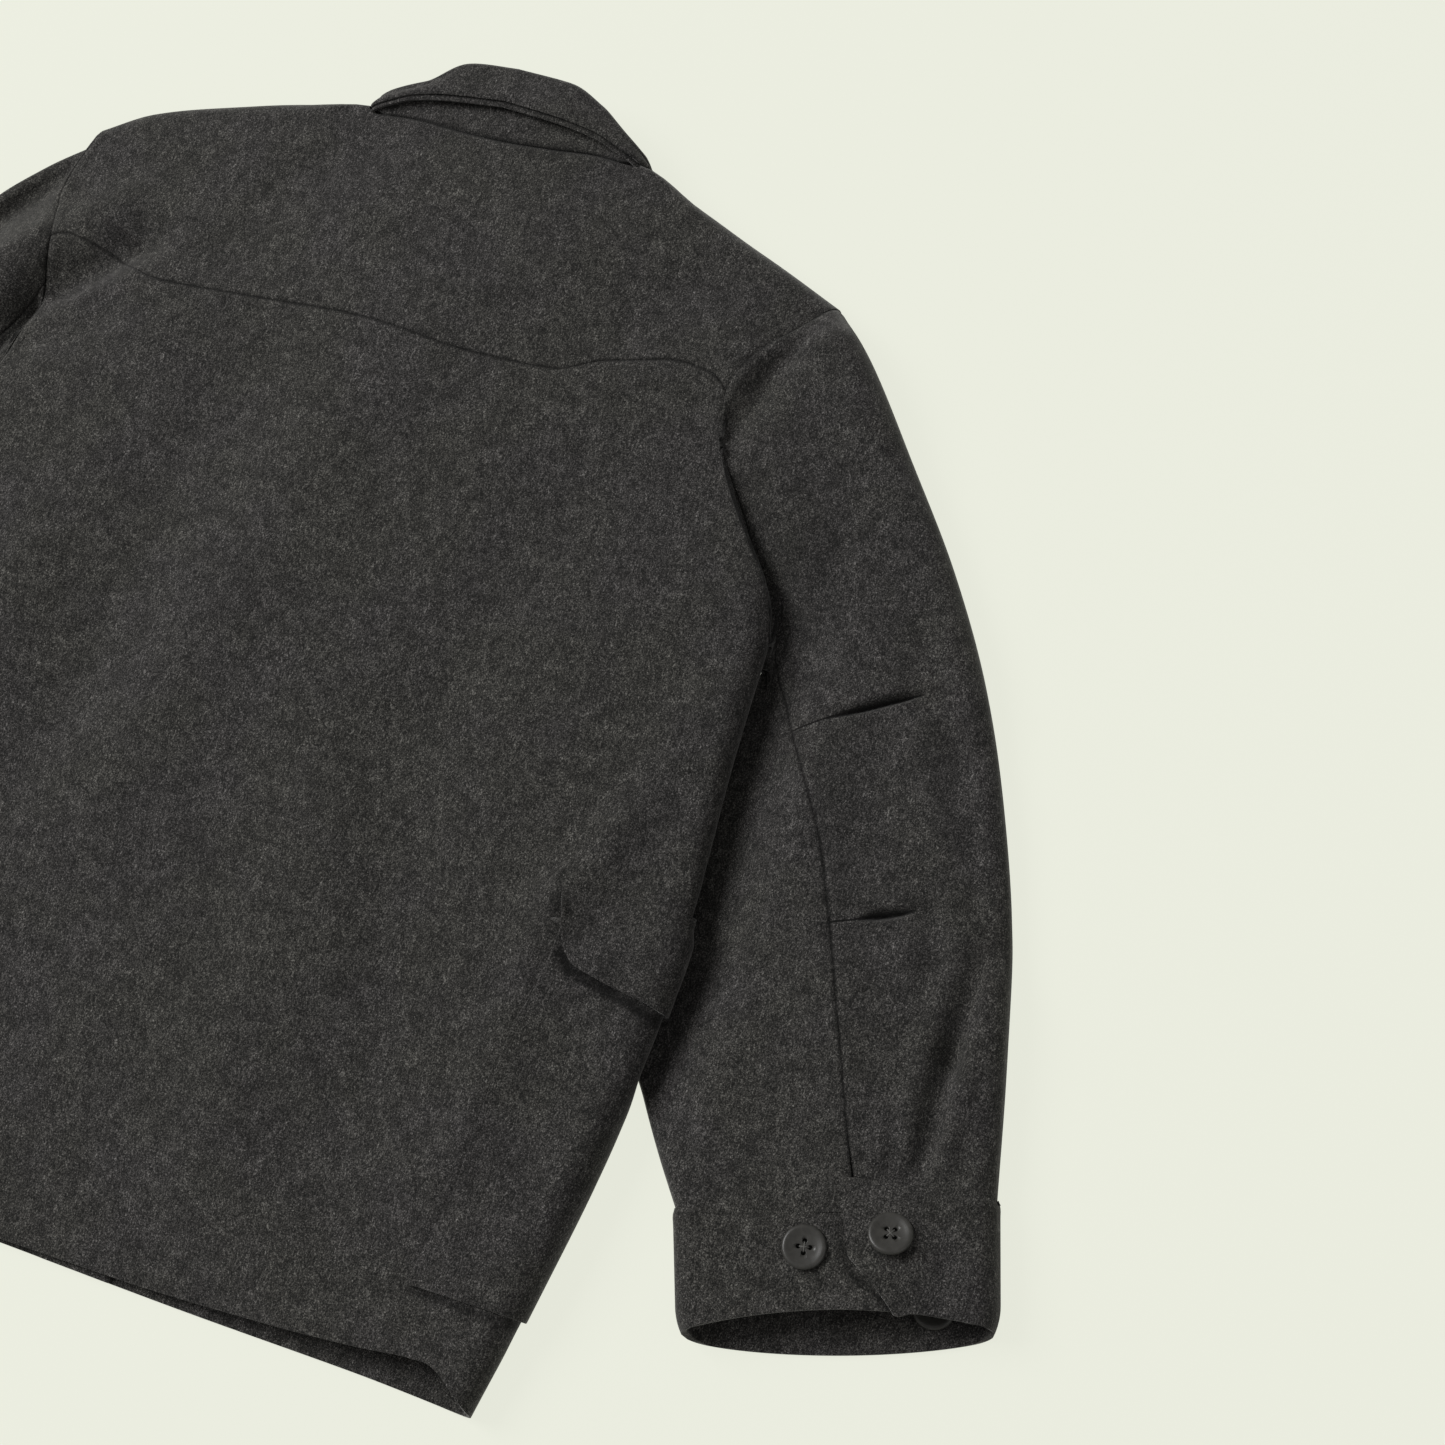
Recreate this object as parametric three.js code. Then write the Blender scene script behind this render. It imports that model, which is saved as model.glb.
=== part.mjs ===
// A boxy wool work jacket laid face down: back, yoke and collar show, the fronts lie underneath.
// Millimetres, +Z up. X runs to the jacket's right-hand side as it lies, Y towards the collar.
// Every panel is one wall of cloth: a grid of outer points and the same grid one thickness behind.
import * as THREE from 'three';

// Cloth and seams
const CLOTH = 2.4;                 // melton wool
const SEAM_GAP = 0.3;              // clear between two pieces at a seam
const LIE_GAP = 0.3;               // clear between two layers that lie on each other
const LAYER = CLOTH + LIE_GAP;
const DEG = Math.PI / 180;

// Middle of the laid jacket, taken off every piece so that the origin is under its middle
const LAID_MIDDLE = { x: -7, y: -331.3 };

// Body, seen from above. Side +1 is the right-hand edge, side -1 the left; X counts outwards.
const CENTRE = -5;
const NECK_X = { 1: 90, '-1': 86 };
const ARMPIT_Y = -262;
const SIDE_ROLL = 14;              // half thickness of the fold along each side, in plan
const SEAM_UNDER = 10;             // how far each side seam lies in under the fold
const FRONT_YOKE_DROP = 45;        // the yoke ends this far below the shoulder fold in front
const FRONT_NECK_DROP = 84;
const FRONT_LAP = 17;              // half the overlap of the two fronts
const FRONT_ARMHOLE_ROWS = 8;

// Body edge: armhole above the armpit, side fold below it
const EDGE_COLUMNS = ['y', 'right', 'left'];
const EDGE_ROWS = [
  [-705, 231, 243], [-640, 243, 253], [-540, 257, 266], [-440, 263, 272], [-340, 257, 267],
  [-262, 254, 263], [-246, 251, 261], [-228, 242, 257], [-209, 228, 252], [-187, 212, 248],
  [-166, 199, 246], [-146, 190, 247], [-128, 187, 250], [-112, 190, 255], [-94, 199, 259],
  [-79, 212, 258], [-57, 230, 253],
];
// Turn of the edge: 0 lies flat at the armhole, 90 stands at the armpit, 180 is folded under
const TURN_ROWS = [[-705, 180], [-342, 180], [-262, 90], [-215, 38], [-170, 0], [-50, 0]];
const UNDER_ROWS = [[-705, SEAM_UNDER], [-390, SEAM_UNDER], [-342, 0], [-50, 0]];

// Lines across the back, as height y against place x
const YOKE_SEAM = [
  [-250, -129], [-240, -125], [-216, -128], [-192, -136], [-173, -141], [-108, -138],
  [-43, -136], [35, -142], [85, -140], [112, -128], [134, -122], [156, -117], [176, -120], [187, -128],
];
const HEM_TOP = [[-250, -690], [-60, -694], [17, -694], [106, -691], [162, -687], [201, -683], [231, -700]];
const HEM_LOW = [[-250, -692], [-58, -696], [68, -699], [158, -700], [211, -702], [240, -704]];
const BACK_NECK = [[-86, -4], [-60, -3], [-20, -6], [3, -7], [34, -5], [65, -2], [90, -4]];
const SHOULDER = [
  [-253, -54], [-225, -36], [-176, -20], [-133, -8], [-86, 2], [90, 1], [131, -16], [163, -29], [195, -42],
  [230, -57],
];

// Height of the upper layer above the table: a row for each y, a column for each x
const HEIGHT_X = [-255, -130, 0, 120, 240];
const HEIGHT_ROWS = [
  [-700, 16, 9, 9, 18, 28],
  [-600, 22, 20, 22, 28, 31],
  [-450, 30, 30, 33, 35, 33],
  [-262, 33, 36, 38, 38, 34],
  [-140, 31, 37, 40, 38, 31],
  [-60, 24, 32, 38, 34, 24],
  [10, 20, 26, 33, 27, 20],
];

// Soft folds of the upper layer: a line, how wide it is, and how far it stands up or sinks
const FOLD_COLUMNS = ['x0', 'y0', 'x1', 'y1', 'width', 'rise'];
const BODY_FOLDS = [
  [-196, -122, -272, -190, 13, -11],
  [-205, -175, -285, -225, 16, -5],
  [-214, -95, -275, -150, 15, 4],
  [175, -95, 205, -150, 14, 3],
  [-60, -190, -170, -400, 34, -3],
  [60, -330, -40, -560, 30, 3],
  [190, -400, 120, -640, 22, 4],
  [235, -300, 205, -420, 14, 3],
  [-150, -330, -200, -560, 30, 3],
  [120, -260, 60, -420, 26, -3],
];
const SLEEVE_FOLDS = [
  [262, -64, 300, -135, 11, -8],
  [318, -92, 345, -150, 14, 3],
];
const RIGHT_SLEEVE_FOLDS = [
  [214, -92, 200, -160, 11, -6],
  [286, -302, 345, -268, 9, -5],
  [338, -400, 376, -384, 8, -5],
  [418, -400, 416, -505, 9, -4],
  [384, -384, 394, -407, 8, -3],
];

// Sleeve: outer and inner fold from armhole to cuff seam, for the right side as it lies
const SLEEVE_ROWS = [
  [0.00, 230, -57, 254, -262],
  [0.08, 256, -83, 260, -276],
  [0.20, 298, -137, 251, -302],
  [0.35, 340, -194, 237, -345],
  [0.50, 376, -254, 230, -390],
  [0.65, 405, -318, 232, -439],
  [0.80, 430, -388, 245, -489],
  [0.90, 446, -452, 265, -520],
  [1.00, 460, -516, 301, -569],
];
const LEFT_SHIFT = { tip: 23, armpit: 9, cuff: 14 };
// Seams down the sleeve's back and underside, as fractions across it from the outer fold
const BACK_SEAM = [
  [0, 0.51], [0.1, 0.53], [0.2, 0.6], [0.35, 0.63], [0.5, 0.56], [0.65, 0.49], [0.8, 0.44], [1, 0.43],
];
const FRONT_SEAM = 0.52;
const SLEEVE_HEIGHT = 25;
const TUCK_HEIGHT = 9;             // sleeve where it lies under the body
const TUCK_CLEAR = 11;             // body's lower layer above the table there
// That lift starts so far inside the sleeve's inner fold, and above the armpit, and ends near the pocket
const TUCK_EDGE = { inside: 30, ramp: 22, above: 34, fade: 30, end: -545, endFade: 34 };
const TUCK_RAMP = 45;              // how far from the body's edge the sleeve is full height
const OUTER_ROLL = 12;

// Cuff
const CUFF_PROUD = 1.6;            // it stands out this far from the sleeve
const CUFF_END = 0.475;            // overlap's end, as a fraction of the width from the outer fold
const CUFF_MITRE = { start: 0.6, lean: 0.04, cut: 0.36 };   // the end leans, then is cut off at a slant
const UNDERLAP_END = 0.31;         // the underlap runs on below the overlap to here

// Patch pockets wrap from each front round the side fold on to the back
const POCKET = { top: -446, bottom: -648 };
const FLAP = { top: -421, bottom: -474 };
const POCKET_UNDER = { x0: 98, x1: 400 };   // the front lifts over the pocket between these
const POCKET_LIFT = { below: 2, above: 24, margin: 22 };
const FLAP_LIFT = { below: 4, above: 28, margin: 22 };

// Buttons
const BUTTON = { radius: 11.7, thick: 3.4, rim: 2.2, slope: 1.6, dish: 1.1, round: 1, sides: 16 };
const FRONT_BUTTONS = [-118, -232, -346, -460, -574];
const BUTTON_CLEAR = 3.8;          // the fronts lift over their buttons along the middle
const PLACKET = { half: 32, fade: 30, low: -680, lowFade: 60, high: -70 };

const COLLAR_CLEAR = 4.2;          // collar fall lies between the fronts and the table
const COLLAR_UNDER = { x0: -132, x1: 136, y0: -132, y1: 60 };
const COLLAR_MARGIN = 40;

// Looks
const WOOL = { color: 0x3b3a38, roughness: 0.95, metalness: 0 };
const HORN = { color: 0x35302c, roughness: 0.35, metalness: 0 };

const jacket = new THREE.Group();

const clamp = (value, low, high) => Math.min(Math.max(value, low), high);
const mix = (a, b, t) => a + (b - a) * t;
const smooth = (t) => { const c = clamp(t, 0, 1); return c * c * (3 - 2 * c); };

// A smooth curve through rows of [place, value] that never overshoots between two rows
function curve(rows, column = 1) {
  const places = rows.map((row) => row[0]);
  const values = rows.map((row) => row[column]);
  const steps = places.slice(1).map((place, i) => (values[i + 1] - values[i]) / (place - places[i]));
  const slopes = values.map((value, i) => {
    if (i === 0) return steps[0];
    if (i === values.length - 1) return steps[i - 1];
    return steps[i - 1] * steps[i] <= 0 ? 0 : 2 * steps[i - 1] * steps[i] / (steps[i - 1] + steps[i]);
  });
  return (place) => {
    const p = clamp(place, places[0], places[places.length - 1]);
    let i = 0;
    while (i < places.length - 2 && p > places[i + 1]) i += 1;
    const span = places[i + 1] - places[i];
    const t = (p - places[i]) / span;
    const a = (1 + 2 * t) * (1 - t) * (1 - t);
    const b = t * (1 - t) * (1 - t);
    const c = t * t * (1 - t);
    return a * values[i] + b * span * slopes[i] + (1 - a) * values[i + 1] - c * span * slopes[i + 1];
  };
}

const edgeRight = curve(EDGE_ROWS, EDGE_COLUMNS.indexOf('right'));
const edgeLeft = curve(EDGE_ROWS, EDGE_COLUMNS.indexOf('left'));
const edge = (side, y) => (side > 0 ? edgeRight(y) : edgeLeft(y));
const turn = curve(TURN_ROWS);
const under = curve(UNDER_ROWS);
const yokeSeam = curve(YOKE_SEAM);
const hemTop = curve(HEM_TOP);
const hemLow = curve(HEM_LOW);
const backNeck = curve(BACK_NECK);
const shoulder = curve(SHOULDER);
const heightAcross = HEIGHT_X.map((x, column) => curve(HEIGHT_ROWS, column + 1));

// How much a set of soft folds raises or sinks the cloth at a place
function foldRise(folds, x, y) {
  let rise = 0;
  for (const row of folds) {
    const [x0, y0, x1, y1, width, high] = FOLD_COLUMNS.map((name, i) => row[i]);
    const length = Math.hypot(x1 - x0, y1 - y0);
    const along = ((x - x0) * (x1 - x0) + (y - y0) * (y1 - y0)) / length;
    const across = ((x - x0) * (y1 - y0) - (y - y0) * (x1 - x0)) / length;
    const past = Math.max(0, -along, along - length);
    rise += high * Math.exp(-((across / width) ** 2) - (past / (1.4 * width)) ** 2);
  }
  return rise;
}

// A patch that is one inside its box and fades out over a margin
function patch(x, y, box, margin) {
  const outX = Math.max(box.x0 - x, x - box.x1, 0);
  const outY = Math.max(box.y0 - y, y - box.y1, 0);
  return 1 - smooth(Math.hypot(outX, outY) / margin);
}

// Upper layer's height at a place
function top(x, y) {
  const heights = HEIGHT_X.map((place, i) => [place, heightAcross[i](y)]);
  const flat = curve(heights)(x);
  return flat + foldRise(BODY_FOLDS, x, y);
}

// Lower layer's height: it lifts over the tucked sleeves, pockets, flaps, collar and buttons
function bottom(x, y) {
  const side = x > 0 ? 1 : -1;
  const X = side * x;
  const inner = innerFold(side, y);
  const { inside, ramp, above, fade, end, endFade } = TUCK_EDGE;
  const tuckY = smooth((ARMPIT_Y + above - y) / fade) * smooth((y - end) / endFade);
  const tuck = TUCK_CLEAR * smooth((X - (inner - inside)) / ramp) * tuckY;
  const over = ({ top: high, bottom: low }, lift) => LAYER * patch(
    X, y, { ...POCKET_UNDER, y0: low - lift.below, y1: high + lift.above }, lift.margin);
  const across = 1 - smooth((Math.abs(x - CENTRE) - PLACKET.half) / PLACKET.fade);
  const upDown = smooth((y - PLACKET.low) / PLACKET.lowFade) * smooth((PLACKET.high - y) / PLACKET.fade);
  const collar = COLLAR_CLEAR * patch(x, y, COLLAR_UNDER, COLLAR_MARGIN);
  return tuck + over(POCKET, POCKET_LIFT) + over(FLAP, FLAP_LIFT)
    + Math.max(BUTTON_CLEAR * across * upDown, collar);
}

const outerX = curve(SLEEVE_ROWS, 1);
const outerY = curve(SLEEVE_ROWS, 2);
const innerX = curve(SLEEVE_ROWS, 3);
const innerY = curve(SLEEVE_ROWS, 4);
const innerByY = curve(SLEEVE_ROWS.map((row) => [row[4], row[3]]).reverse());

// The sleeve's inner fold, X at a height y, where it runs in under the body
function innerFold(side, y) {
  const shift = side > 0 ? 0 : mix(LEFT_SHIFT.armpit, LEFT_SHIFT.cuff, clamp((ARMPIT_Y - y) / 300, 0, 1));
  return innerByY(y) + shift;
}

// One section across the body at height y. Distance runs outwards from where the side fold starts,
// round the fold and in again on the other layer; from 'above' it starts on the upper layer.
function section(side, y) {
  const angle = turn(y) * DEG;
  const start = edge(side, y) - SIDE_ROLL * Math.sin(Math.min(angle, Math.PI / 2));
  const high = top(side * start, y);
  const low = bottom(side * start, y);
  const half = (high - low) / 2;
  const perRadian = (SIDE_ROLL + half) / 2;
  return { side, y, angle, start, high, low, half, perRadian };
}

function bodyPoint(cut, distance, above = true) {
  const { side, y, start, high, low, half, perRadian } = cut;
  const middle = (high + low) / 2;
  const round = Math.PI * perRadian;
  const first = above ? top : bottom;
  const second = above ? bottom : top;
  const up = above ? 1 : -1;
  if (distance <= 0) {
    const x = side * (start + distance);
    return new THREE.Vector3(x, y, first(x, y));
  }
  if (distance <= round) {
    const phi = distance / perRadian;
    return new THREE.Vector3(side * (start + SIDE_ROLL * Math.sin(phi)), y, middle + up * half * Math.cos(phi));
  }
  const x = side * (start - (distance - round));
  return new THREE.Vector3(x, y, second(x, y));
}

// Where the side seam or armhole lies on a section, from above or from below
function seamPlace(cut, above) {
  if (above) return cut.angle * cut.perRadian + under(cut.y);
  if (cut.y > ARMPIT_Y) return cut.angle * cut.perRadian;
  return (Math.PI - cut.angle) * cut.perRadian - under(cut.y);
}

const SIDE_TRIM = 0.6;             // each piece at a side seam, where the fold turns tightly
const NEAR_EDGE = [0, 10, 20, 32, 44, 57, 86, 118];    // distances of the columns along each side edge

const along = (from, to, parts) => Array.from({ length: parts + 1 }, (unused, i) => mix(from, to, i / parts));

// Turns two layers of points into one closed wall. keep says which cells of the grid are cloth.
function wall(name, outer, inner, look, keep = () => true) {
  const rows = outer.length;
  const columns = outer[0].length;
  const positions = [];
  const numbers = new Map();
  const vertex = (layer, i, j) => {
    const key = (layer * rows + i) * columns + j;
    if (!numbers.has(key)) {
      const point = (layer ? inner : outer)[i][j];
      numbers.set(key, positions.length / 3);
      positions.push(point.x, point.y, point.z);
    }
    return numbers.get(key);
  };
  const faces = [];
  const cloth = (i, j) => i >= 0 && j >= 0 && i < rows - 1 && j < columns - 1 && keep(i, j);
  // Both pieces at a seam split its narrow faces along the same diagonal
  const rim = (i0, j0, i1, j1) => {
    const [p, q, r, s] = [vertex(0, i0, j0), vertex(0, i1, j1), vertex(1, i1, j1), vertex(1, i0, j0)];
    if (i0 + j0 < i1 + j1) faces.push(p, s, q, q, s, r);
    else faces.push(p, r, q, p, s, r);
  };
  for (let i = 0; i < rows - 1; i += 1) {
    for (let j = 0; j < columns - 1; j += 1) {
      if (!cloth(i, j)) continue;
      const corners = (layer) => [[i, j], [i, j + 1], [i + 1, j + 1], [i + 1, j]].map(([row, column]) =>
        vertex(layer, row, column));
      const [a, b, c, d] = corners(0);
      const [e, f, g, h] = corners(1);
      faces.push(a, b, c, a, c, d, e, g, f, e, h, g);
      if (!cloth(i - 1, j)) rim(i, j, i, j + 1);
      if (!cloth(i, j + 1)) rim(i, j + 1, i + 1, j + 1);
      if (!cloth(i + 1, j)) rim(i + 1, j + 1, i + 1, j);
      if (!cloth(i, j - 1)) rim(i + 1, j, i, j);
    }
  }
  const geometry = new THREE.BufferGeometry();
  geometry.setAttribute('position', new THREE.Float32BufferAttribute(positions, 3));
  geometry.setIndex(faces);
  geometry.computeVertexNormals();
  const mesh = new THREE.Mesh(geometry, new THREE.MeshStandardMaterial(look));
  mesh.name = name;
  mesh.position.set(-LAID_MIDDLE.x, -LAID_MIDDLE.y, 0);
  jacket.add(mesh);
  return mesh;
}

// Outward normals of a grid; rows by columns turn so that across x along points out of the cloth
function gridNormals(grid) {
  const rows = grid.length;
  const columns = grid[0].length;
  return grid.map((row, i) => row.map((point, j) => {
    const across = grid[i][Math.min(j + 1, columns - 1)].clone().sub(grid[i][Math.max(j - 1, 0)]);
    const upwards = grid[Math.min(i + 1, rows - 1)][j].clone().sub(grid[Math.max(i - 1, 0)][j]);
    return across.cross(upwards).normalize();
  }));
}

// Draws each edge of a grid in by half a seam gap
const EVEN_TRIM = { low: SEAM_GAP / 2, high: SEAM_GAP / 2, left: SEAM_GAP / 2, right: SEAM_GAP / 2 };
function trimmed(grid, trim) {
  const rows = grid.length;
  const columns = grid[0].length;
  const pulled = (point, next, gap = 0) => next.clone().sub(point).setLength(gap);
  return grid.map((row, i) => row.map((point, j) => {
    const moved = point.clone();
    if (i === 0) moved.add(pulled(point, grid[1][j], trim.low));
    if (i === rows - 1) moved.add(pulled(point, grid[i - 1][j], trim.high));
    if (j === 0) moved.add(pulled(point, row[1], trim.left));
    if (j === columns - 1) moved.add(pulled(point, row[j - 1], trim.right));
    return moved;
  }));
}

const offset = (grid, normals, distance) => grid.map((row, i) => row.map((point, j) =>
  point.clone().addScaledVector(normals[i][j], distance)));

// A panel of cloth whose outer face is the grid
function panel(name, grid, look = WOOL, options = {}) {
  const thickness = options.thickness ?? CLOTH;
  const normals = options.normals ?? gridNormals(grid);
  const outer = trimmed(grid, { ...EVEN_TRIM, ...options.trim });
  const inner = offset(outer, normals, -thickness);
  inner.forEach((row) => row.forEach((point) => { point.z = Math.max(point.z, 0); }));
  return wall(name, outer, inner, look, options.keep);
}

// Sections and seam places of both sides at one height
function backColumns(y) {
  const cuts = { 1: section(1, y), '-1': section(-1, y) };
  const places = { 1: seamPlace(cuts[1], true), '-1': seamPlace(cuts[-1], true) };
  return { cuts, places };
}

const LAST = NEAR_EDGE.length - 1;
const NECK_PARTS = 6;
const BACK_COLUMNS = 2 * NEAR_EDGE.length + NECK_PARTS + 3;
const NECK_LEFT = NEAR_EDGE.length + 1;
const NECK_RIGHT = NECK_LEFT + NECK_PARTS;
const GHOST = -10;                 // a column just past each seam, for the seam's own direction only

// Along the armhole, where nothing turns under, the near columns draw together
const nearEdge = (column, y) => (column < 0 ? GHOST : NEAR_EDGE[column]) * mix(1, 0.5, smooth((y + 330) / 120));

// The point of the upper layer in a column; its height y is a function of x, met by repeated substitution
function upperPoint(column, yOf) {
  let y = yOf(0, 0);
  let point = null;
  for (let pass = 0; pass < 8; pass += 1) {
    const { cuts, places } = backColumns(y);
    const mirrored = BACK_COLUMNS - 1 - column;
    const side = column < BACK_COLUMNS / 2 ? -1 : 1;
    const near = Math.min(column, mirrored);
    const cut = cuts[side];
    if (near <= LAST) {
      point = bodyPoint(cut, places[side] - nearEdge(near, y));
    } else {
      let x = mix(-NECK_X[-1], NECK_X[1], clamp((column - NECK_LEFT) / NECK_PARTS, 0, 1));
      if (near === LAST + 1) x = (bodyPoint(cut, places[side] - nearEdge(LAST, y)).x + side * NECK_X[side]) / 2;
      point = new THREE.Vector3(x, y, top(x, y));
    }
    const lowness = smooth((cut.high - point.z) / Math.max(cut.high - cut.low, 1));
    y = yOf(point.x, Math.abs(point.x) > cut.start - 30 ? lowness : 0);
  }
  return point;
}

const hemAt = (x, lowness) => mix(hemTop(x), hemLow(x), lowness);
const ghosted = (count) => Array.from({ length: count + 2 }, (unused, i) => i - 1);
const withoutGhosts = (grid) => grid.map((row) => row.slice(1, -1));

// Rows of the back, as heights of its right-hand edge
const HEM_Y = -700;
const YOKE_END_Y = -128;
const BACK_EDGE_Y = [
  HEM_Y, -676, POCKET.bottom, -618, -588, -558, -528, -500, FLAP.bottom, POCKET.top, FLAP.top,
  -396, -372, -348, -324, -300, -280, ARMPIT_Y, -245, -227, -208, -188, -168, -148, YOKE_END_Y,
];
const ARMPIT_ROW = BACK_EDGE_Y.indexOf(ARMPIT_Y);
const backShares = BACK_EDGE_Y.map((y) => (y - HEM_Y) / (YOKE_END_Y - HEM_Y));
const backGrid = backShares.map((share) => ghosted(BACK_COLUMNS).map((column) =>
  upperPoint(column, (x, lowness) => mix(hemAt(x, lowness), yokeSeam(x), share))));

// Shoulder fold: a half round, tight at the neck and wider at the sleeve
const shoulderRoll = (x) => mix(4, 12, smooth((Math.abs(x) - 88) / 60));
const FOLD_ANGLES = [45, 90, 135, 180];
const YOKE_SHARES = [0.28, 0.55, 0.8, 1];

// Front neckline: a deep U on the lower layer, as a height for x and as an X for a height
const NECK_CURVE = 2.4;
const NECK_TOP = -4;
function frontNeckY(x) {
  const reach = clamp(Math.abs(x) / (x > 0 ? NECK_X[1] : NECK_X[-1]), 0, 1);
  return NECK_TOP - FRONT_NECK_DROP * (1 - reach ** NECK_CURVE);
}
function frontNeckX(side, y) {
  const share = clamp((y - NECK_TOP) / FRONT_NECK_DROP + 1, 0, 1);
  return NECK_X[side] * share ** (1 / NECK_CURVE);
}

// A point on the shoulder fold, or below it on the yoke's front part
function shoulderPoint(side, near, angle, drop) {
  let y = -60;
  let X = 100;
  for (let pass = 0; pass < 8; pass += 1) {
    const neck = drop > 0 ? frontNeckX(side, y) : NECK_X[side];
    if (near <= LAST) X = edge(side, y) - nearEdge(near, y);
    else if (near === LAST + 1) X = (edge(side, y) - nearEdge(LAST, y) + neck) / 2;
    else X = neck;
    const roll = shoulderRoll(X);
    y = shoulder(side * X) - roll + roll * Math.sin(angle * DEG) - drop;
  }
  const x = side * X;
  const startY = shoulder(x) - shoulderRoll(X);
  const share = (1 + Math.cos(angle * DEG)) / 2;
  const z = drop > 0 ? bottom(x, y) : mix(bottom(x, startY), top(x, startY), share);
  return new THREE.Vector3(x, y, z);
}

function yokeTopY(x) {
  const neck = x > 0 ? NECK_X[1] : NECK_X[-1];
  return Math.abs(x) < neck - 0.5 ? backNeck(x) : shoulder(x) - shoulderRoll(x);
}
const yokeGrid = YOKE_SHARES.map((share) => ghosted(BACK_COLUMNS).map((column) =>
  upperPoint(column, (x) => mix(yokeSeam(x), yokeTopY(x), share))));

// Over the shoulders the yoke runs on past the fold to a seam on the front
const strapRows = [
  ...FOLD_ANGLES.map((angle) => ({ angle, drop: 0 })),
  { angle: 180, drop: FRONT_YOKE_DROP / 2 - 4 },
  { angle: 180, drop: FRONT_YOKE_DROP },
];
for (const { angle, drop } of strapRows) {
  yokeGrid.push(ghosted(BACK_COLUMNS).map((column) => {
    if (column <= NECK_LEFT) return shoulderPoint(-1, column, angle, drop);
    if (column >= NECK_RIGHT) return shoulderPoint(1, BACK_COLUMNS - 1 - column, angle, drop);
    return yokeGrid[YOKE_SHARES.length - 1][column + 1].clone();
  }));
}

// Back and yoke share the points and directions of the seam between them
const upperGrid = [...backGrid, ...yokeGrid];
const upperNormals = withoutGhosts(gridNormals(upperGrid));
const neckRow = backGrid.length + YOKE_SHARES.length - 1;
for (let column = NECK_LEFT + 1; column < NECK_RIGHT; column += 1) {
  upperNormals[neckRow][column] = upperNormals[neckRow - 1][column].clone();
}
const upper = withoutGhosts(upperGrid);
const seamRow = backGrid.length - 1;
panel('back', upper.slice(0, seamRow + 1), WOOL, {
  normals: upperNormals.slice(0, seamRow + 1), trim: { low: 0, left: SIDE_TRIM, right: SIDE_TRIM },
});
const isYoke = (i, j) => i < YOKE_SHARES.length || j < NECK_LEFT || j >= NECK_RIGHT;
panel('yoke', upper.slice(seamRow), WOOL, { normals: upperNormals.slice(seamRow), keep: isYoke });

// Fronts: from each side seam to the overlap, from the hem to the yoke and the front neckline
const FRONT_COLUMNS = NEAR_EDGE.length + 6;
const LAP_RAMP = { before: 14, over: 12 };    // the upper front climbs on to the lower one
const lapEnd = (side) => CENTRE - side * FRONT_LAP;
function frontSeamX(side) {
  let X = NECK_X[side];
  for (let pass = 0; pass < 12; pass += 1) {
    X = frontNeckX(side, shoulder(side * X) - shoulderRoll(X) - FRONT_YOKE_DROP);
  }
  return X;
}

function frontTopY(side, X) {
  if (X >= frontSeamX(side) - 0.2) return shoulder(side * X) - shoulderRoll(X) - FRONT_YOKE_DROP;
  return frontNeckY(side * X);
}

function frontZ(side, x, y) {
  const lap = side > 0 ? 0 : LAYER * smooth((x - (CENTRE - FRONT_LAP - LAP_RAMP.before)) / LAP_RAMP.over);
  return bottom(x, y) + lap;
}

// A point of a front: its row follows the side seam's height, and the hem and top line further in
function frontPoint(side, column, edgeY, ends) {
  const share = (edgeY - ends.low) / (ends.high - ends.low);
  let y = edgeY;
  let point = null;
  for (let pass = 0; pass < 8; pass += 1) {
    const cut = section(side, y);
    const place = seamPlace(cut, false);
    const neck = mix(NECK_X[side], frontSeamX(side), smooth((share - 0.7) / 0.3));
    if (column <= LAST) {
      point = bodyPoint(cut, place - nearEdge(column, y), false);
    } else {
      const inner = side * bodyPoint(cut, place - nearEdge(LAST, y), false).x;
      const lap = [FRONT_LAP + 20, FRONT_LAP + 7, side * lapEnd(side)];
      const places = [(inner + neck) / 2, neck, 0.75 * neck, ...lap];
      const X = places[column - LAST - 1];
      point = new THREE.Vector3(side * X, y, frontZ(side, side * X, y));
    }
    const X = side * point.x;
    const hem = column <= 0 ? 0 : hemLow(point.x) - ends.hem;
    const high = column <= 0 ? 0 : frontTopY(side, X) - ends.high;
    y = edgeY + hem * (1 - share) + high * share;
  }
  return point;
}

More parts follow.
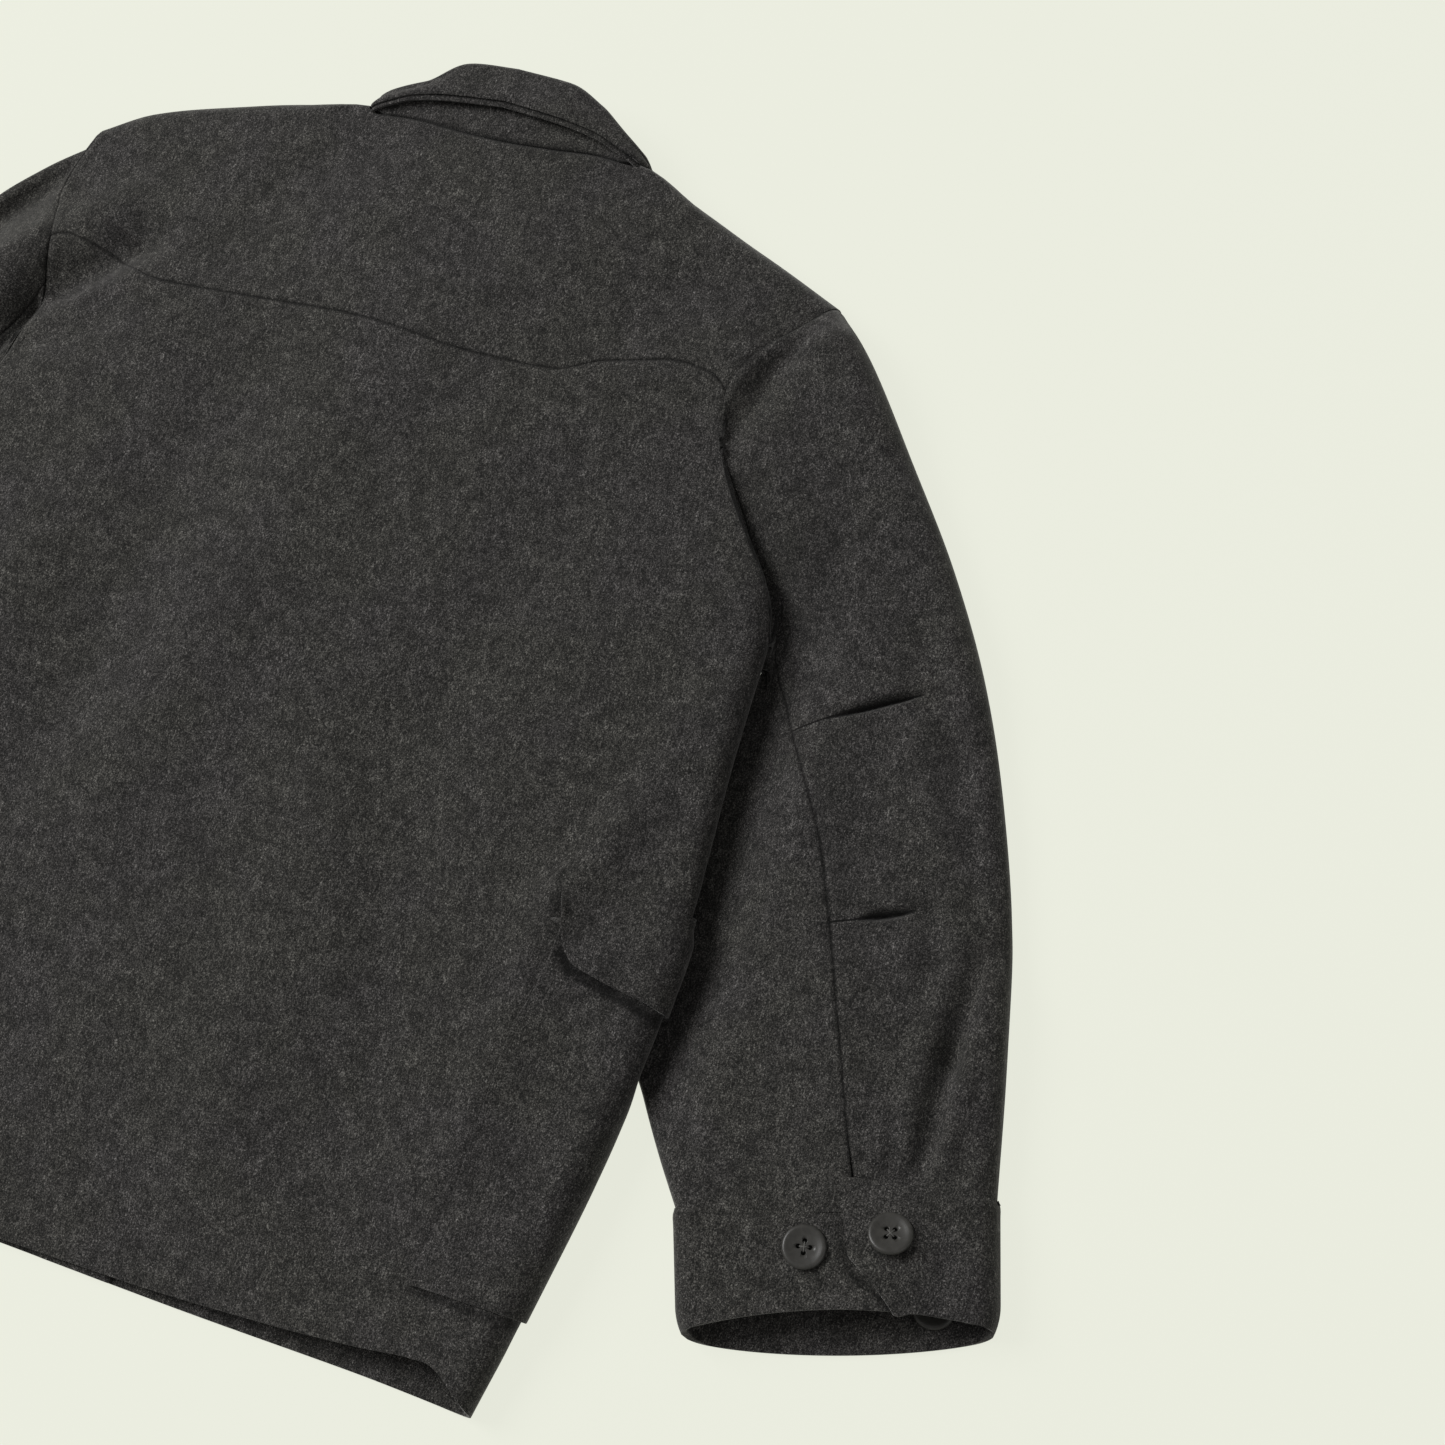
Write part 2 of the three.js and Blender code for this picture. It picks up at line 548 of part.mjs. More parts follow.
const frontGrids = {};
for (const [side, name] of [[1, 'front_right'], [-1, 'front_left']]) {
  const seam = backGrid.map((row) => (side > 0 ? row[row.length - 2] : row[1]));
  let high = -110;
  for (let pass = 0; pass < 30; pass += 1) high = frontTopY(side, edge(side, high));
  const armholeY = along(ARMPIT_Y, high, FRONT_ARMHOLE_ROWS).slice(1);
  const seamY = seam.slice(0, ARMPIT_ROW + 1).map((point) => point.y);
  const meet = (y) => y + (seamY[ARMPIT_ROW] - ARMPIT_Y) * (high - y) / (high - ARMPIT_Y);
  const edgeYs = [...seamY, ...armholeY.map(meet)];
  const ends = { low: edgeYs[0], high, hem: hemLow(seam[0].x) };
  const columns = Array.from({ length: FRONT_COLUMNS + 1 }, (unused, i) => i - 1);
  const full = edgeYs.map((y) => columns.map((column) => frontPoint(side, column, y, ends)));
  const direction = side > 0 ? 1 : -1;
  const normals = gridNormals(full).map((row) =>
    row.slice(1).map((normal) => normal.multiplyScalar(direction)));
  const grid = full.map((row) => row.slice(1));
  frontGrids[side] = grid;
  const turned = (rows) => (side > 0 ? rows : rows.map((row) => [...row].reverse()));
  const seamEdge = side > 0 ? 'left' : 'right';
  panel(name, turned(grid), WOOL, { normals: turned(normals), trim: { low: 0, [seamEdge]: SIDE_TRIM } });
}

// Sleeves: each is a flattened tube of two pieces. Stations run round it from the armhole's points.
const ARMHOLE_TRIM = 2.6;          // the sleeve's head, where it turns over the shoulder
const OWN_STATIONS = [1.3, 5];     // extra stations, this far from the armpit
const NEAR_STATION = 3;            // an armhole point nearer than this to one of those is left out
const HOLD = { outer: 0.34, inner: 0.15 };  // how far down the sleeve keeps the armhole's form, of its length
const CORNER = { outer: 24, inner: 16 };   // near each fold a station keeps its distance from it
const SLEEVE_SHARES = [0, 0.05, 0.1, 0.16, 0.23, 0.31, 0.39, 0.47, 0.55, 0.63, 0.71, 0.79, 0.86, 0.93, 1];
const CUFF_RISE = 12;              // the overlap's seam climbs this far towards its end
const UNDER_DROP = 5;              // and the underlap's seam sinks this far
const DROP_RAMP = 30;
const backSeam = curve(BACK_SEAM);

// A section across the sleeve: its outer fold in plan, its width and its direction across
function sleeveEnds(side, v) {
  const shiftOuter = side > 0 ? 0 : mix(LEFT_SHIFT.tip, LEFT_SHIFT.cuff, v);
  const shiftInner = side > 0 ? 0 : mix(LEFT_SHIFT.armpit, LEFT_SHIFT.cuff, v);
  const outer = new THREE.Vector2(outerX(v) + shiftOuter, outerY(v));
  const inner = new THREE.Vector2(innerX(v) + shiftInner, innerY(v));
  return sectionBetween(outer, inner);
}
function sectionBetween(outer, inner) {
  const across = inner.clone().sub(outer);
  const width = across.length();
  return { outer, width, across: across.divideScalar(width) };
}

// Height of the sleeve's upper layer: low where it runs under the body, full outside it
function sleeveTop(side, X, y) {
  const out = X - edge(side, y) - 2;
  const folds = side > 0 ? [...SLEEVE_FOLDS, ...RIGHT_SLEEVE_FOLDS] : SLEEVE_FOLDS;
  const full = smooth(out / TUCK_RAMP);
  return TUCK_HEIGHT + (SLEEVE_HEIGHT - TUCK_HEIGHT) * full + full * foldRise(folds, X, y);
}

// A point of a flattened tube: c is its distance from the outer fold across the section
function tubePoint(side, ends, c, isTop, { high, low }) {
  const { outer, width, across } = ends;
  const plan = (at) => [outer.x + across.x * at, outer.y + across.y * at];
  const innerRoll = clamp(high(...plan(width - 8)) / 2, 4, OUTER_ROLL);
  const top3 = high(...plan(clamp(c, OUTER_ROLL, width - innerRoll)));
  const fromFold = Math.min(c / OUTER_ROLL, (width - c) / innerRoll, 1);
  const round = Math.sqrt(Math.max(0, 1 - (1 - fromFold) ** 2));
  const z = mix(low, top3, (1 + (isTop ? round : -round)) / 2);
  const [X, y] = plan(c);
  return new THREE.Vector3(side * X, y, z);
}

// The armhole's points from the shoulder's tip to the armpit, with their distance from the tip in plan
const TIP_ROW = seamRow + YOKE_SHARES.length + FOLD_ANGLES.indexOf(90) + 1;
function armholeSide(points, extras) {
  const places = [0];
  for (let i = 1; i < points.length; i += 1) {
    const step = Math.hypot(points[i].x - points[i - 1].x, points[i].y - points[i - 1].y);
    places.push(places[i - 1] + step);
  }
  const width = places[places.length - 1];
  const added = extras.map((extra) => (extra < 1 ? extra * width : width - extra));
  const clearOf = (c) => c === 0 || c === width || added.every((place) => Math.abs(place - c) > NEAR_STATION);
  const stations = points.map((point, i) => ({ point: point.clone(), c: places[i] }))
    .filter(({ c }) => clearOf(c));
  for (const c of added) {
    const i = places.findIndex((place) => place > c);
    const share = (c - places[i - 1]) / (places[i] - places[i - 1]);
    stations.push({ point: points[i - 1].clone().lerp(points[i], share), c });
  }
  stations.sort((a, b) => a.c - b.c);
  return { stations, width };
}

function armhole(side) {
  const edgeColumn = (row) => (side > 0 ? row[row.length - 1] : row[0]).clone();
  const column = upper.map(edgeColumn);
  const front = frontGrids[side].slice(ARMPIT_ROW).map((row) => row[0].clone()).reverse();
  const topSide = column.slice(ARMPIT_ROW, TIP_ROW + 1).reverse();
  const lowSide = [...column.slice(TIP_ROW), ...front.slice(1)];
  return {
    top: armholeSide(topSide, [BACK_SEAM[0][1], ...OWN_STATIONS]),
    low: armholeSide(lowSide, [FRONT_SEAM, ...OWN_STATIONS]),
  };
}

// Where a station lies on a narrower section: near the folds at its own distance, else in proportion
function stationPlace(station, hole, width, seamShare, seamShareStart) {
  const { c } = station;
  const start = seamShareStart * hole.width;
  const now = seamShare * width;
  if (c <= CORNER.outer) return c;
  if (c >= hole.width - CORNER.inner) return width - (hole.width - c);
  if (c <= start) return mix(CORNER.outer, now, (c - CORNER.outer) / (start - CORNER.outer));
  return mix(now, width - CORNER.inner, (c - start) / (hole.width - CORNER.inner - start));
}

// The sleeve's seam to the cuff climbs on the overlap's side and sinks on the underlap's
function cuffShift(c, width, seamC, isTop, isUpper) {
  if (!isTop) return 0;
  return isUpper ? CUFF_RISE * c / seamC : -UNDER_DROP * smooth((width - c) / DROP_RAMP);
}

function sleevePoint(side, v, station, hole, isTop, isUpper) {
  const share = isTop ? backSeam(v) : FRONT_SEAM;
  const startShare = isTop ? BACK_SEAM[0][1] : FRONT_SEAM;
  const heights = { high: (X, y) => sleeveTop(side, X, y), low: CUFF_PROUD * smooth((v - 0.85) / 0.15) };
  const at = (place) => {
    const ends = sleeveEnds(side, place);
    const seamShare = place === 0 ? startShare : share;
    const stationC = stationPlace(station, hole, ends.width, seamShare, startShare);
    return tubePoint(side, ends, stationC, isTop, heights);
  };
  const innerness = smooth((station.c / hole.width - 0.6) / 0.4);
  const hold = 1 - smooth(v / mix(HOLD.outer, HOLD.inner, innerness));
  const point = at(v).add(station.point.clone().sub(at(0)).multiplyScalar(hold));
  const ends = sleeveEnds(side, v);
  const c = stationPlace(station, hole, ends.width, share, startShare);
  const shift = cuffShift(c, ends.width, share * ends.width, isTop, isUpper) * smooth((v - 0.8) / 0.2);
  point.x += side * ends.across.y * shift;
  point.y -= ends.across.x * shift;
  point.z = Math.max(point.z, 0);
  return point;
}

for (const [side, name] of [[1, 'right'], [-1, 'left']]) {
  const hole = armhole(side);
  const seamAt = (part, share) => part.stations.findIndex((station) => station.c > share * part.width - 0.01);
  const topSeam = seamAt(hole.top, BACK_SEAM[0][1]);
  const lowSeam = seamAt(hole.low, FRONT_SEAM);
  const list = (part, from, to, isTop, isUpper) => part.stations.slice(from, to)
    .map((station) => ({ station, part, isTop, isUpper }));
  const upperStations = [
    ...list(hole.top, 0, topSeam + 1, true, true).reverse(), ...list(hole.low, 1, lowSeam + 1, false, true),
  ];
  const underStations = [
    ...list(hole.low, lowSeam, hole.low.stations.length, false, false),
    ...list(hole.top, topSeam, hole.top.stations.length - 1, true, false).reverse(),
  ];
  const shares = [...SLEEVE_SHARES].reverse();
  const grids = [upperStations, underStations].map((stations) => shares.map((v) =>
    stations.map(({ station, part, isTop, isUpper }) => sleevePoint(side, v, station, part, isTop, isUpper))));
  ['upper', 'under'].forEach((part, index) => {
    const [own, other] = [grids[index], grids[1 - index]];
    const wide = own.map((row, i) => [other[i][other[i].length - 2], ...row, other[i][1]]);
    const turned = (rows) => (side > 0 ? rows : rows.map((row) => [...row].reverse()));
    const normals = withoutGhosts(gridNormals(turned(wide)));
    const stations = turned([index === 0 ? upperStations : underStations])[0];
    normals.forEach((row) => row.forEach((normal, j) => {
      const { station, part: half, isTop } = stations[j];
      const isFlat = !isTop && station.c > OUTER_ROLL && station.c < half.width - OUTER_ROLL;
      if (isFlat) normal.set(0, 0, -1);
    }));
    const lowEdge = (index === 0) === (side > 0) ? 'right' : 'left';
    const trim = { high: ARMHOLE_TRIM, [lowEdge]: SIDE_TRIM };
    panel(`sleeve_${part}_${name}`, turned(own), WOOL, { normals, trim });
  });
}

// Cuffs: one strip each, from the underlap's end round the wrist to the overlap with its cut corner
const CUFF_OUTER = [[0, 460, -516], [1, 479, -579]];
const CUFF_INNER = [[0, 301, -569], [1, 323, -629]];
const CUFF_SHARES = [1, 0.62, 0.3, 0];
const CUFF_THICK = 3.2;
const CUFF_TRIM = 2;               // it turns in under the sleeve's edge
const OVERLAP_LIFT = CUFF_THICK + LIE_GAP;
const WRIST_BOW = 11;              // the filled cuff's upper edge draws back this far
const UNDER_BOW = 9;               // and its lower edge bows out
const LAP_START = { place: 0.16, over: 0.12 };      // the overlap lifts off the strip from here
const STRIP_STEPS = { fold: 4, lows: [45, 80, 115], top: 125, tops: [0.62, 0.5, 0.4] };
const cuffPoints = {};
for (const [side, name] of [[1, 'right'], [-1, 'left']]) {
  const shift = side > 0 ? 0 : LEFT_SHIFT.cuff;
  const endsAt = (share) => {
    const place = ([[, x0, y0], [, x1, y1]]) => new THREE.Vector2(mix(x0, x1, share), mix(y0, y1, share));
    const [outer, inner] = [place(CUFF_OUTER), place(CUFF_INNER)];
    outer.x += shift;
    inner.x += shift;
    const ends = sectionBetween(outer, inner);
    outer.addScaledVector(ends.across, -CUFF_PROUD);
    return { outer, width: ends.width + 2 * CUFF_PROUD, across: ends.across };
  };
  const seamShare = BACK_SEAM[BACK_SEAM.length - 1][1];
  const cuffPoint = (share, part, c) => {
    const ends = endsAt(share);
    const isTop = part !== 'low';
    const lift = OVERLAP_LIFT * smooth((c / ends.width - LAP_START.place) / LAP_START.over);
    const high = () => SLEEVE_HEIGHT + CUFF_PROUD + (part === 'over' ? lift : 0);
    const point = tubePoint(side, ends, c, isTop, { high, low: 0 });
    const seam = seamShare * ends.width;
    const sink = -UNDER_DROP * smooth((ends.width - CUFF_PROUD - c) / DROP_RAMP);
    const climb = part === 'over' ? CUFF_RISE * Math.min(c / seam, 1.05) : sink;
    const bow = Math.sin(Math.PI * clamp(c / ends.width, 0, 1));
    const move = isTop ? mix(climb, WRIST_BOW * bow, share) : -UNDER_BOW * bow * share;
    point.x += side * ends.across.y * move;
    point.y -= ends.across.x * move;
    return point;
  };
  const endOfOverlap = (share) => {
    const { start, lean, cut } = CUFF_MITRE;
    return CUFF_END - lean * Math.min(share, start) - cut * Math.max(share - start, 0);
  };
  const strip = (share) => {
    const { width } = endsAt(share);
    const over = endOfOverlap(share) * width;
    const overs = [over, over - 12, 0.36 * over + 8, 32, OUTER_ROLL, STRIP_STEPS.fold].sort((p, q) => q - p);
    const step = STRIP_STEPS.fold;
    const lows = [0, step, OUTER_ROLL, ...STRIP_STEPS.lows, width - OUTER_ROLL, width - step, width];
    const tops = [...STRIP_STEPS.tops, UNDERLAP_END].map((part) => part * width);
    tops.unshift(width - step, width - OUTER_ROLL, STRIP_STEPS.top);
    return [
      ...overs.map((c) => ['over', c]), ...lows.map((c) => ['low', c]), ...tops.map((c) => ['top', c]),
    ];
  };
  const grid = CUFF_SHARES.map((share) => strip(share).map(([part, c]) => cuffPoint(share, part, c)));
  const turned = side > 0 ? grid : grid.map((row) => row.reverse());
  panel(`cuff_${name}`, turned, WOOL, { thickness: CUFF_THICK, trim: { low: 0, high: CUFF_TRIM } });
  cuffPoints[side] = cuffPoint;
}

// Collar: the stand rises from the neck seam to the fold, and the fall turns back down over it.
// A row for each place round the neck: 0 is the centre back, 1 the side, 2 the centre front.
const COLLAR_ROWS = [
  [0.00, 0, 35, 36, 0, 13, 43],
  [0.35, 34, 33, 36, 36, 10, 42.5],
  [0.65, 58, 23, 35, 62, 6, 41],
  [0.85, 76, 13, 33, 83, 0, 36],
  [0.95, 84.5, 11, 27, 94, 3, 31.5],
  [1.00, 86.5, 11, 18.5, 100, 5, 18],
  [1.05, 86, 9, 11, 103, 4, 7],
  [1.12, 84, 1, 8, 105, -5, 0],
  [1.25, 79, -10, 7, 105, -26, 0],
  [1.50, 62, -36, 6.6, 94, -66, 0],
  [1.75, 36, -54, 6.6, 76, -100, 0],
  [2.00, 9, -62, 6.6, 50, -120, 0],
];
const [foldXAt, foldYAt, foldZAt] = [1, 2, 3].map((i) => curve(COLLAR_ROWS, i));
const [fallXAt, fallYAt, fallZAt] = [4, 5, 6].map((i) => curve(COLLAR_ROWS, i));
const FALL_THICK = 3.4;
const STAND_SHORT = 6.5;           // the stand ends this far short of the fold
const STAND_START = { back: 0.6, shoulder: 3.8, most: 0.35 };   // and starts this far from the neck edge
const STAND_END_MOST = 0.4;
const FALL_OUT = 5.2;              // the fold of the fall stands this far beyond the stand's edge
const CORNER_PUSH = { x: 2.5, y: 2.4 };   // and further where it turns over the shoulder
const FRONT_PLACES = [1.2, 1.4, 1.55, 1.7, 1.82, 2];
const NECK_CORNER = 0.95;
const ROLL_PLACES = [0.98, 1, 1.03, 1.06];

// The neck seam's points with their places round the neck, for one side from back to front
function neckLoop(side) {
  const half = NECK_PARTS / 2;
  const backPart = Array.from({ length: half + 1 }, (unused, i) => (
    { place: NECK_CORNER * i / half, point: upper[neckRow][NECK_LEFT + half + side * i] }));
  const neckColumn = side > 0 ? NECK_RIGHT : NECK_LEFT;
  const places = [...ROLL_PLACES, ...FRONT_PLACES];
  const strap = upper.slice(neckRow + 1).map((row, i) => ({ place: places[i], point: row[neckColumn] }));
  const frontTop = frontGrids[side][frontGrids[side].length - 1];
  const frontPart = frontTop.slice(LAST + 3).map((point, i) => ({ place: FRONT_PLACES[i + 2], point }));
  return [...backPart, ...strap, ...frontPart];
}
const LEFT_NARROW = 0.94;          // the collar reaches a little less far on the left
const narrow = (side) => (side > 0 ? 1 : LEFT_NARROW);
const loops = { 1: neckLoop(1), '-1': neckLoop(-1) };
const bothSides = [
  ...loops[-1].slice(1).reverse().map((entry) => ({ ...entry, side: -1 })),
  ...loops[1].map((entry) => ({ ...entry, side: 1 })),
];
const foldPoint = ({ side, place }) =>
  new THREE.Vector3(side * narrow(side) * foldXAt(place), foldYAt(place), foldZAt(place));
// The stand starts just clear of the neck edge, a little more where it turns over the shoulder
function neckStart(entry) {
  const clear = mix(STAND_START.back, STAND_START.shoulder, smooth((entry.place - 0.8) / 0.15));
  const reach = foldPoint(entry).sub(entry.point);
  return entry.point.clone().addScaledVector(reach, Math.min(clear / reach.length(), STAND_START.most));
}
function standEnd(entry) {
  const reach = entry.point.clone().sub(foldPoint(entry));
  return foldPoint(entry).addScaledVector(reach, Math.min(STAND_SHORT / reach.length(), STAND_END_MOST));
}
const standRows = [
  bothSides.map((entry) => neckStart(entry)),
  bothSides.map((entry) => entry.point.clone().lerp(foldPoint(entry), 0.5)),
  bothSides.map((entry) => standEnd(entry)),
];
panel('collar_stand', standRows, WOOL, { trim: { low: 0 } });

// The fall is finer than the stand where it turns over the shoulder
const FALL_PLACES = [0, 0.2, 0.4, 0.6, 0.74, 0.86, 0.93, 0.98, 1.02, 1.06, 1.12, 1.25, 1.4, 1.55, 1.7, 1.85, 2];
const fallStations = [
  ...FALL_PLACES.slice(1).reverse().map((place) => ({ side: -1, place })),
  ...FALL_PLACES.map((place) => ({ side: 1, place })),
];
const FALL_CROWN = 0.8;
const FALL_TURN = 5;
function fallPoint({ side, place }, row) {
  const turned = smooth((place - 0.97) / 0.1);
  const fold = foldPoint({ side, place });
  const stands = mix(FALL_THICK + 0.4, -fold.z, turned);
  const edgePoint = new THREE.Vector3(side * narrow(side) * fallXAt(place), fallYAt(place), fallZAt(place));
  const above = fold.clone().add(new THREE.Vector3(0, 0, stands));
  if (place > 0.9 && place < 1.1) above.add(new THREE.Vector3(side * CORNER_PUSH.x, CORNER_PUSH.y, 0));
  if (row === 0) return edgePoint;
  if (row === 1) return edgePoint.lerp(above, 0.5).add(new THREE.Vector3(0, 0, FALL_CROWN * (1 - turned)));
  if (row === 2) return above;
  return new THREE.Vector3(above.x, above.y + FALL_OUT, mix(above.z - FALL_TURN, FALL_TURN, turned));
}
const fallGrid = [0, 1, 2, 3].map((row) => fallStations.map((station) => fallPoint(station, row)));
panel('collar_fall', fallGrid, WOOL, { thickness: FALL_THICK, trim: { low: 0, high: 0, left: 0, right: 0 } });

// Pockets and flaps: the panels' own points round the side fold, moved out
function aroundSide(side, fromY, toY) {
  const rows = [BACK_EDGE_Y.indexOf(fromY), BACK_EDGE_Y.indexOf(toY)];
  return Array.from({ length: rows[1] - rows[0] + 1 }, (unused, i) => {
    const row = rows[0] + i;
    const own = upper[row];
    const backPart = (side > 0 ? [...own].reverse() : own).slice(0, LAST + 1).reverse();
    return [...backPart, ...frontGrids[side][row].slice(1, LAST + 1)].map((point) => point.clone());
  });
}
function layOn(name, side, grid, lifts) {
  const turned = side > 0 ? grid : grid.map((row) => [...row].reverse());
  const normals = gridNormals(turned);
  const lifted = turned.map((row, i) => row.map((point, j) =>
    point.clone().addScaledVector(normals[i][j], lifts[i])));
  panel(name, lifted, WOOL, { normals, trim: { low: 0, high: 0, left: 0, right: 0 } });
}
for (const [side, name] of [[1, 'right'], [-1, 'left']]) {
  const pocket = aroundSide(side, POCKET.bottom, POCKET.top);
  layOn(`pocket_${name}`, side, pocket, pocket.map(() => LAYER));
  const flap = aroundSide(side, FLAP.bottom, FLAP.top);
  layOn(`flap_${name}`, side, flap, [2 * LAYER, 2 * LAYER, LAYER]);
}

// Buttons: turned discs with a rim, a dished middle and a flat back
function button(name, middle, axis) {
  const { radius, thick, rim, slope, dish, round, sides } = BUTTON;
  const profile = [
    [0, 0], [radius - round, 0], [radius, round], [radius, thick - round], [radius - round, thick],
    [radius - rim, thick], [radius - rim - slope, thick - dish], [0, thick - dish],
  ].map(([r, z]) => new THREE.Vector2(r, z));
  const geometry = new THREE.LatheGeometry(profile, sides);
  geometry.rotateX(Math.PI / 2);
  const mesh = new THREE.Mesh(geometry, new THREE.MeshStandardMaterial(HORN));
  mesh.name = name;
  mesh.quaternion.setFromUnitVectors(new THREE.Vector3(0, 0, 1), axis.clone().normalize());
  mesh.position.set(middle.x - LAID_MIDDLE.x, middle.y - LAID_MIDDLE.y, middle.z);
  jacket.add(mesh);
}
const UP = new THREE.Vector3(0, 0, 1);
// Share of the cuff's length, distance from the outer fold, and how far the back of the button is up
const CUFF_BUTTONS = [
  ['under', 'top', 0.36, 99, SLEEVE_HEIGHT + CUFF_PROUD + 0.4],
  ['over', 'over', 0.415, 54, SLEEVE_HEIGHT + CUFF_PROUD + OVERLAP_LIFT + 0.5],
  ['inside', 'top', 0.88, 34, CUFF_THICK + LIE_GAP],
];
for (const [side, name] of [[1, 'right'], [-1, 'left']]) {
  for (const [which, part, share, c, z] of CUFF_BUTTONS) {
    const at = cuffPoints[side](share, part, c);
    at.z = z;
    button(`cuff_button_${which}_${name}`, at, UP);
  }
}
FRONT_BUTTONS.forEach((y, i) => {
  const middle = new THREE.Vector3(CENTRE, y, BUTTON.thick);
  button(`front_button_${i + 1}`, middle, new THREE.Vector3(0, 0, -1));
});

export default jacket;
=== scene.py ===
"""A boxy wool jacket laid face down on a pale table: back, yoke, sleeves, cuffs, collar, pockets, buttons."""
import math

import bmesh
import bpy
import numpy as np
from mathutils import Matrix, Vector


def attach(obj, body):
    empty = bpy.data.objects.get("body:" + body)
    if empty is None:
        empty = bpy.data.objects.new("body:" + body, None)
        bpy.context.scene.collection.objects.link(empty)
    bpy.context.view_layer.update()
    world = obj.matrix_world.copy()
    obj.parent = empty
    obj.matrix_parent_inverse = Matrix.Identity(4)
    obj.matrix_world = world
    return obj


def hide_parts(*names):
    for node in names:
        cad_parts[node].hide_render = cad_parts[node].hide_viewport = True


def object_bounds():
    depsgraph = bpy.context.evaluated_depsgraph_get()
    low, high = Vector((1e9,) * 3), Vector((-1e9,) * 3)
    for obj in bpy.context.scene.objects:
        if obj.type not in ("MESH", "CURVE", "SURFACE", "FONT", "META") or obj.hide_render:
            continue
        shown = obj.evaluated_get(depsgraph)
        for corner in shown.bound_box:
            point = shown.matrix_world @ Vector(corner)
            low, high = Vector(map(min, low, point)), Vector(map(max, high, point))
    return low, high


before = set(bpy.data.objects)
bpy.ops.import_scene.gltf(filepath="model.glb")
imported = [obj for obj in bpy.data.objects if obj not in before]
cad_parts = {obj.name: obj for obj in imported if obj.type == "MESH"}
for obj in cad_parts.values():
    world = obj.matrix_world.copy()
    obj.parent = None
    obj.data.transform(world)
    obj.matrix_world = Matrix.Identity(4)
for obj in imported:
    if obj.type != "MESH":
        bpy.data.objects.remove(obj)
cad_box = [list(corner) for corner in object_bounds()]

# The table
# A plain pale painted board, wide enough to fill the picture. The jacket lies on it, so its top is at the
# jacket's lowest point.
TABLE_HALF, TABLE_BELOW = 12.0, 0.0003
floor_mesh = bpy.data.meshes.new("table")
bm = bmesh.new()
bmesh.ops.create_grid(bm, x_segments=1, y_segments=1, size=TABLE_HALF)
bmesh.ops.translate(bm, verts=bm.verts, vec=(0, 0, cad_box[0][2] - TABLE_BELOW))
bm.to_mesh(floor_mesh)
bm.free()
table = bpy.data.objects.new("table", floor_mesh)
bpy.context.collection.objects.link(table)
paint = bpy.data.materials.new("pale_table_paint")
paint.use_nodes = True
painted = paint.node_tree.nodes["Principled BSDF"]
painted.inputs["Base Color"].default_value = (0.05, 0.051, 0.045, 1)
painted.inputs["Roughness"].default_value = 0.9
painted.inputs["Specular IOR Level"].default_value = 0.1
painted.inputs["Emission Color"].default_value = (0.831, 0.847, 0.745, 1)
painted.inputs["Emission Strength"].default_value = 0.93
floor_mesh.materials.append(paint)

# The camera
# It looks down from the jacket's lower right, about a metre and a half off, and is turned so that the jacket
# lies askew in the picture, as in the photograph.
MM = 0.001
LAID_MIDDLE = np.array([-7.0, -331.3, 0.0])     # of the pattern, whose zero is the middle of the back's neck
AIM = np.array([237.33, -305.97, 0.0])
BACKWARDS = np.array([0.27, -0.25, 1.0])        # from the jacket to the camera
BACKWARDS /= np.linalg.norm(BACKWARDS)
CAMERA_TURN = math.radians(18.6)
CAMERA_AWAY = 1500.0
PICTURE = 1445
FOCAL_PIXELS = 2700.0
SENSOR = 36.0
level = np.cross((0, 1, 0), BACKWARDS)
level /= np.linalg.norm(level)
upright = np.cross(BACKWARDS, level)
picture_right = math.cos(CAMERA_TURN) * level + math.sin(CAMERA_TURN) * upright
picture_up = math.cos(CAMERA_TURN) * upright - math.sin(CAMERA_TURN) * level
camera_data = bpy.data.cameras.new("camera")
camera_data.sensor_width = SENSOR
camera_data.sensor_fit = "HORIZONTAL"
camera_data.lens = SENSOR * FOCAL_PIXELS / PICTURE
camera_data.clip_end = 50.0
camera = bpy.data.objects.new("camera", camera_data)
bpy.context.collection.objects.link(camera)
stand_at = (AIM - LAID_MIDDLE + BACKWARDS * CAMERA_AWAY) * MM
turned = Matrix((picture_right, picture_up, BACKWARDS)).transposed().to_4x4()
camera.matrix_world = Matrix.Translation(Vector(stand_at)) @ turned
bpy.context.scene.camera = camera
bpy.context.scene.view_settings.view_transform = "Standard"

# The lights
# Plain studio light: a broad soft lamp from the picture's upper left, a weaker one from the right, and an
# even glow all round.
world = bpy.data.worlds.new("studio")
bpy.context.scene.world = world
world.use_nodes = True
world.node_tree.nodes["Background"].inputs["Color"].default_value = (1.0, 0.99, 0.97, 1)
world.node_tree.nodes["Background"].inputs["Strength"].default_value = 0.27
LAMP_AWAY = 5.0
for lamp_name, direction, power, size in (
    ("key", -1.05 * picture_right + 0.75 * picture_up + 0.75 * BACKWARDS, 302.0, 2.8),
    ("fill", 0.9 * picture_right - 0.2 * picture_up + 1.3 * BACKWARDS, 24.0, 3.4),
):
    lamp_data = bpy.data.lights.new(lamp_name, "AREA")
    lamp_data.energy = power
    lamp_data.size = size
    lamp = bpy.data.objects.new(lamp_name, lamp_data)
    bpy.context.collection.objects.link(lamp)
    away = Vector(direction).normalized()
    towards = away.to_track_quat("Z", "Y").to_matrix().to_4x4()
    lamp.matrix_world = Matrix.Translation(away * LAMP_AWAY) @ towards

